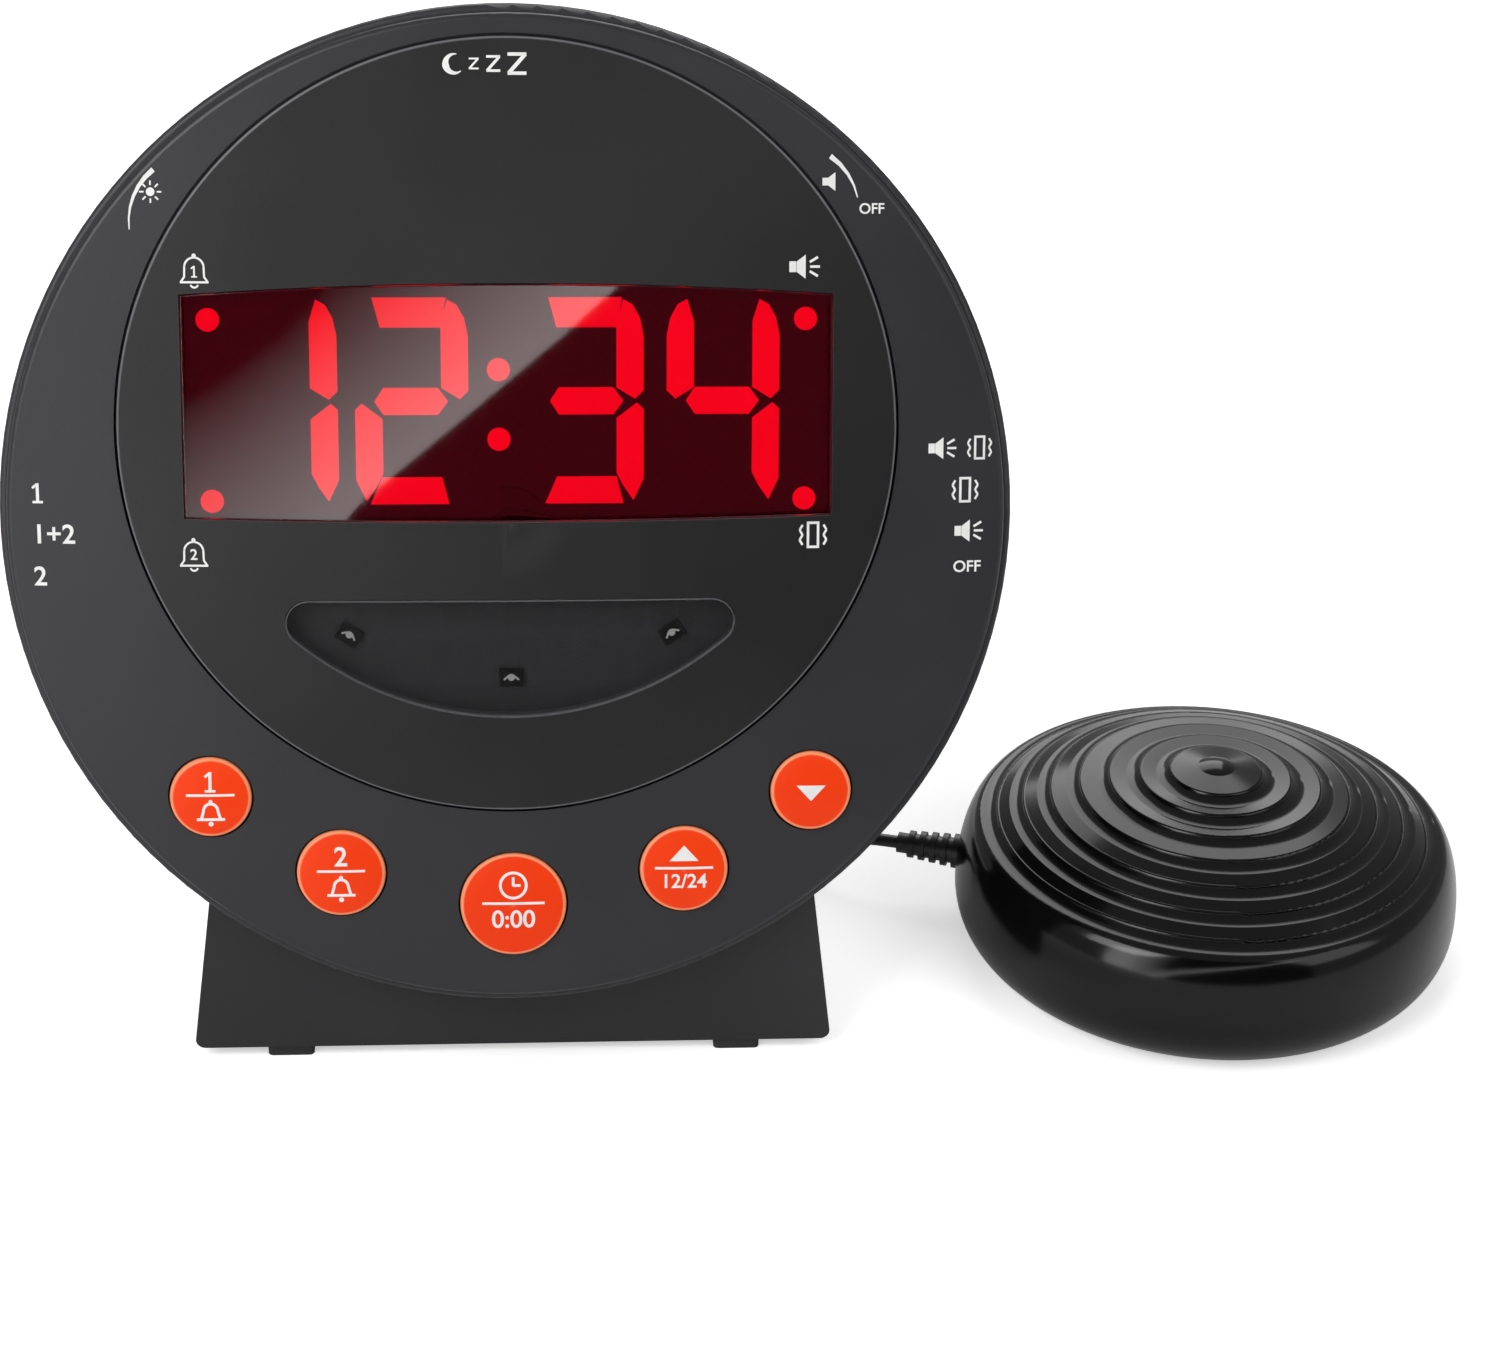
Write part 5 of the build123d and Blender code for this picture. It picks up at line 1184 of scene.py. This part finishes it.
@dataclass(frozen=True)
class Lamp:
    """A soft square lamp: its place and side in metres, and its power in watts."""

    name: str
    place: Place
    side: float
    power: float

    def hang(self, aim: Place) -> None:
        """Hangs the lamp.

        Args:
            aim: What it faces.
        """
        data = bpy.data.lights.new(self.name, "AREA")
        data.shape = "SQUARE"
        data.size = self.side
        data.energy = self.power
        lamp = bpy.data.objects.new(self.name, data)
        lamp.location = self.place
        way = Vector(aim) - Vector(self.place)
        lamp.rotation_euler = way.to_track_quat("-Z", "Y").to_euler()
        bpy.context.scene.collection.objects.link(lamp)


@dataclass
class Floor:
    """The pale floor, in metres: it takes the part's soft shadow, and reads nearly white."""

    size: float = 6.0
    colour: str = "#f2f2f2"
    # The lift that the camera sees grows between two distances, so that no horizon shows.
    lift_reach: Spot = (0.3, 1.1)
    lift_strength: Spot = (0.5, 1.0)

    def lift_socket(self, tree: Tree) -> Socket:
        """Adds the light that only the camera sees on the floor.

        Args:
            tree: The node tree.

        Returns:
            The light's strength.
        """
        rays = add_node(tree, "ShaderNodeLightPath")
        place = add_node(tree, "ShaderNodeTexCoord")
        away = add_node(
            tree, "ShaderNodeVectorMath", {"operation": "LENGTH"},
            links={0: place.outputs["Object"]},
        )
        near, far = self.lift_reach
        low, high = self.lift_strength
        paling = add_node(
            tree, "ShaderNodeMapRange",
            values={"From Min": near, "From Max": far, "To Min": low, "To Max": high},
            links={"Value": away.outputs["Value"]},
        )
        lift = add_node(
            tree, "ShaderNodeMath", {"operation": "MULTIPLY"},
            links={0: rays.outputs["Is Camera Ray"], 1: paling.outputs["Result"]},
        )
        return lift.outputs["Value"]

    def lay(self) -> None:
        """Lays the floor."""
        mesh = bmesh.new()
        bmesh.ops.create_grid(mesh, x_segments=1, y_segments=1, size=self.size / 2)
        floor = finished_mesh("floor", mesh)
        material = bare_material("pale_floor")
        tree = material.node_tree
        matt = add_node(tree, "ShaderNodeBsdfDiffuse", values={"Color": linear(self.colour)})
        glow = add_node(
            tree, "ShaderNodeEmission", values={"Color": WHITE},
            links={"Strength": self.lift_socket(tree)},
        )
        both = add_node(
            tree, "ShaderNodeAddShader",
            links={0: matt.outputs["BSDF"], 1: glow.outputs["Emission"]},
        )
        add_node(tree, "ShaderNodeOutputMaterial", links={"Surface": both.outputs["Shader"]})
        floor.data.materials.append(material)


@dataclass
class FrontCard:
    """A dark card in front, in metres, which only reflections see.

    It keeps the face dark, and carries the bright patch with a straight slanting edge that
    the display's filter reflects, and the light strip that brightens the bezel's left side.
    """

    depth: float = -1.0
    # Left, right, low and high.
    span: tuple[float, float, float, float] = (-1.2, 0.85, -0.2, 1.5)
    # The patch starts at a line through a place, and fades along a way from it.
    patch_start: Spot = (-0.179, 0.232)
    patch_way: Spot = (-0.6469, 0.7626)
    patch_fade: float = 0.16
    patch_strength: float = 4.2
    # The strip starts at the first place to the left, and is full at the second.
    strip_reach: Spot = (-0.38, -0.85)
    strip_strength: float = 5.5

    def patch_socket(self, tree: Tree, place: Socket) -> Socket:
        """Adds the bright patch.

        Args:
            tree: The node tree.
            place: The place on the card.

        Returns:
            The patch's strength.
        """
        away = add_node(
            tree, "ShaderNodeVectorMath", {"operation": "SUBTRACT"},
            {1: (self.patch_start[0], 0, self.patch_start[1])}, {0: place},
        )
        along = add_node(
            tree, "ShaderNodeVectorMath", {"operation": "DOT_PRODUCT"},
            {1: (self.patch_way[0], 0, self.patch_way[1])}, {0: away.outputs["Vector"]},
        )
        fade = add_node(
            tree,
            "ShaderNodeMapRange",
            values={
                "From Max": self.patch_fade,
                "To Min": self.patch_strength,
                "To Max": 0.0,
            },
            links={"Value": along.outputs["Value"]},
        )
        past = add_node(
            tree, "ShaderNodeMath", {"operation": "GREATER_THAN"}, {1: 0.0},
            {0: along.outputs["Value"]},
        )
        patch = add_node(
            tree, "ShaderNodeMath", {"operation": "MULTIPLY"},
            links={0: fade.outputs["Result"], 1: past.outputs["Value"]},
        )
        return patch.outputs["Value"]

    def strip_socket(self, tree: Tree, place: Socket) -> Socket:
        """Adds the light strip.

        Args:
            tree: The node tree.
            place: The place on the card.

        Returns:
            The strip's strength.
        """
        across = add_node(tree, "ShaderNodeSeparateXYZ", links={"Vector": place})
        start, full = self.strip_reach
        strip = add_node(
            tree, "ShaderNodeMapRange",
            values={"From Min": start, "From Max": full, "To Max": self.strip_strength},
            links={"Value": across.outputs["X"]},
        )
        return strip.outputs["Result"]

    def hang(self) -> None:
        """Hangs the card."""
        left, right, low, high = self.span
        mesh = bmesh.new()
        corners = [(left, low), (right, low), (right, high), (left, high)]
        mesh.faces.new([mesh.verts.new((x, self.depth, z)) for x, z in corners])
        card = finished_mesh("front_card", mesh)
        material = bare_material("front_card")
        tree = material.node_tree
        place = add_node(tree, "ShaderNodeTexCoord").outputs["Object"]
        total = add_node(
            tree, "ShaderNodeMath", {"operation": "ADD"},
            links={0: self.patch_socket(tree, place), 1: self.strip_socket(tree, place)},
        )
        glow = add_node(
            tree, "ShaderNodeEmission", values={"Color": WHITE},
            links={"Strength": total.outputs["Value"]},
        )
        add_node(tree, "ShaderNodeOutputMaterial", links={"Surface": glow.outputs["Emission"]})
        card.data.materials.append(material)
        for rays in ("camera", "diffuse", "transmission", "shadow"):
            setattr(card, f"visible_{rays}", False)


@dataclass
class Studio:
    """The room, the soft lamps and the camera at the photograph's angle."""

    # The camera's place and target in millimetres, its roll in radians, and its near limit.
    camera_place: Place = (-40.2, -485.86, 335.87)
    camera_target: Place = (-3.70, -19.69, 59.90)
    camera_roll: float = 0.0307
    camera_near: float = 0.02
    lens: float = 85.0
    # The world's strength as light on the part, and as the backdrop that is seen behind it.
    room_strength: float = 0.4
    seen_strength: float = 1.0
    lamps: tuple[Lamp, ...] = (
        Lamp("key_lamp", (-0.75, -0.7, 0.95), 0.7, 10.0),
        Lamp("fill_lamp", (0.9, -0.6, 0.8), 0.8, 4.0),
        Lamp("back_lamp", (0.1, 1.3, 1.0), 1.0, 10.0),
    )
    lamp_aim: Place = (0.0, 0.0, 0.07)

    def place_camera(self) -> None:
        """Sets the camera."""
        data = bpy.data.cameras.new("camera")
        data.lens = self.lens
        data.clip_start = self.camera_near
        camera = bpy.data.objects.new("camera", data)
        place = Vector(self.camera_place) * MM
        ahead = (Vector(self.camera_target) * MM - place).normalized()
        right = ahead.cross(Vector((0, 0, 1))).normalized()
        above = right.cross(ahead)
        cosine, sine = math.cos(self.camera_roll), math.sin(self.camera_roll)
        right, above = right * cosine + above * sine, above * cosine - right * sine
        turned = Matrix((right, above, -ahead)).transposed().to_4x4()
        camera.matrix_world = Matrix.Translation(place) @ turned
        bpy.context.scene.collection.objects.link(camera)
        bpy.context.scene.camera = camera

    def light_world(self) -> None:
        """Lights the room softly, and shows white behind the part."""
        world = bpy.data.worlds.new("room")
        world.use_nodes = True
        bpy.context.scene.world = world
        tree = world.node_tree
        tree.nodes.clear()
        rays = add_node(tree, "ShaderNodeLightPath")
        seen = add_node(
            tree, "ShaderNodeMath", {"operation": "MAXIMUM"},
            links={0: rays.outputs["Is Camera Ray"], 1: rays.outputs["Is Transmission Ray"]},
        )
        room, behind = (
            add_node(tree, "ShaderNodeBackground", values={"Color": WHITE, "Strength": power})
            for power in (self.room_strength, self.seen_strength)
        )
        mixed = add_node(
            tree,
            "ShaderNodeMixShader",
            links={
                0: seen.outputs["Value"],
                1: room.outputs["Background"],
                2: behind.outputs["Background"],
            },
        )
        add_node(tree, "ShaderNodeOutputWorld", links={"Surface": mixed.outputs["Shader"]})

    def build(self) -> None:
        """Sets up the whole studio."""
        bpy.context.scene.view_settings.view_transform = "Standard"
        self.place_camera()
        self.light_world()
        Floor().lay()
        FrontCard().hang()
        for lamp in self.lamps:
            lamp.hang(self.lamp_aim)


def draw_back(piece: bpy.types.Object, amount: float) -> None:
    """Draws a solid in by a hair, so that its faces don't share the plane of a clear window's.

    Args:
        piece: The solid.
        amount: How far its faces draw in, in millimetres.
    """
    shrink = piece.modifiers.new("draw_back", "DISPLACE")
    shrink.mid_level = 0.0
    shrink.strength = -amount * MM


def dress_nodes(frame: dict[str, Any]) -> None:
    """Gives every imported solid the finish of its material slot.

    Args:
        frame: The loaded frame.
    """
    made = {finish.slot: finish.value.make() for finish in Finishes}
    for subpart in frame["record"]["subparts"]:
        name, slot = subpart["node"], subpart["material_slot"]
        piece = frame["nodes"][name]
        piece.data.materials.clear()
        piece.data.materials.append(made[slot])
        LOG.info("node %s is finished in %s", name, slot)
    for name in BEHIND_WINDOWS:
        draw_back(frame["nodes"][name], WINDOW_CLEARANCE)


def main() -> None:
    """Loads the frame and builds everything round it."""
    logging.basicConfig(level=logging.INFO, format="%(name)s: %(message)s")
    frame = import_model()
    Studio().build()
    dress_nodes(frame)
    cord = ShakerCord().build(frame)
    LOG.info("piece %s is laid", cord.name)
    for piece in Legends().build():
        LOG.info("piece %s is printed", piece.name)


if __name__ == "__main__":
    main()
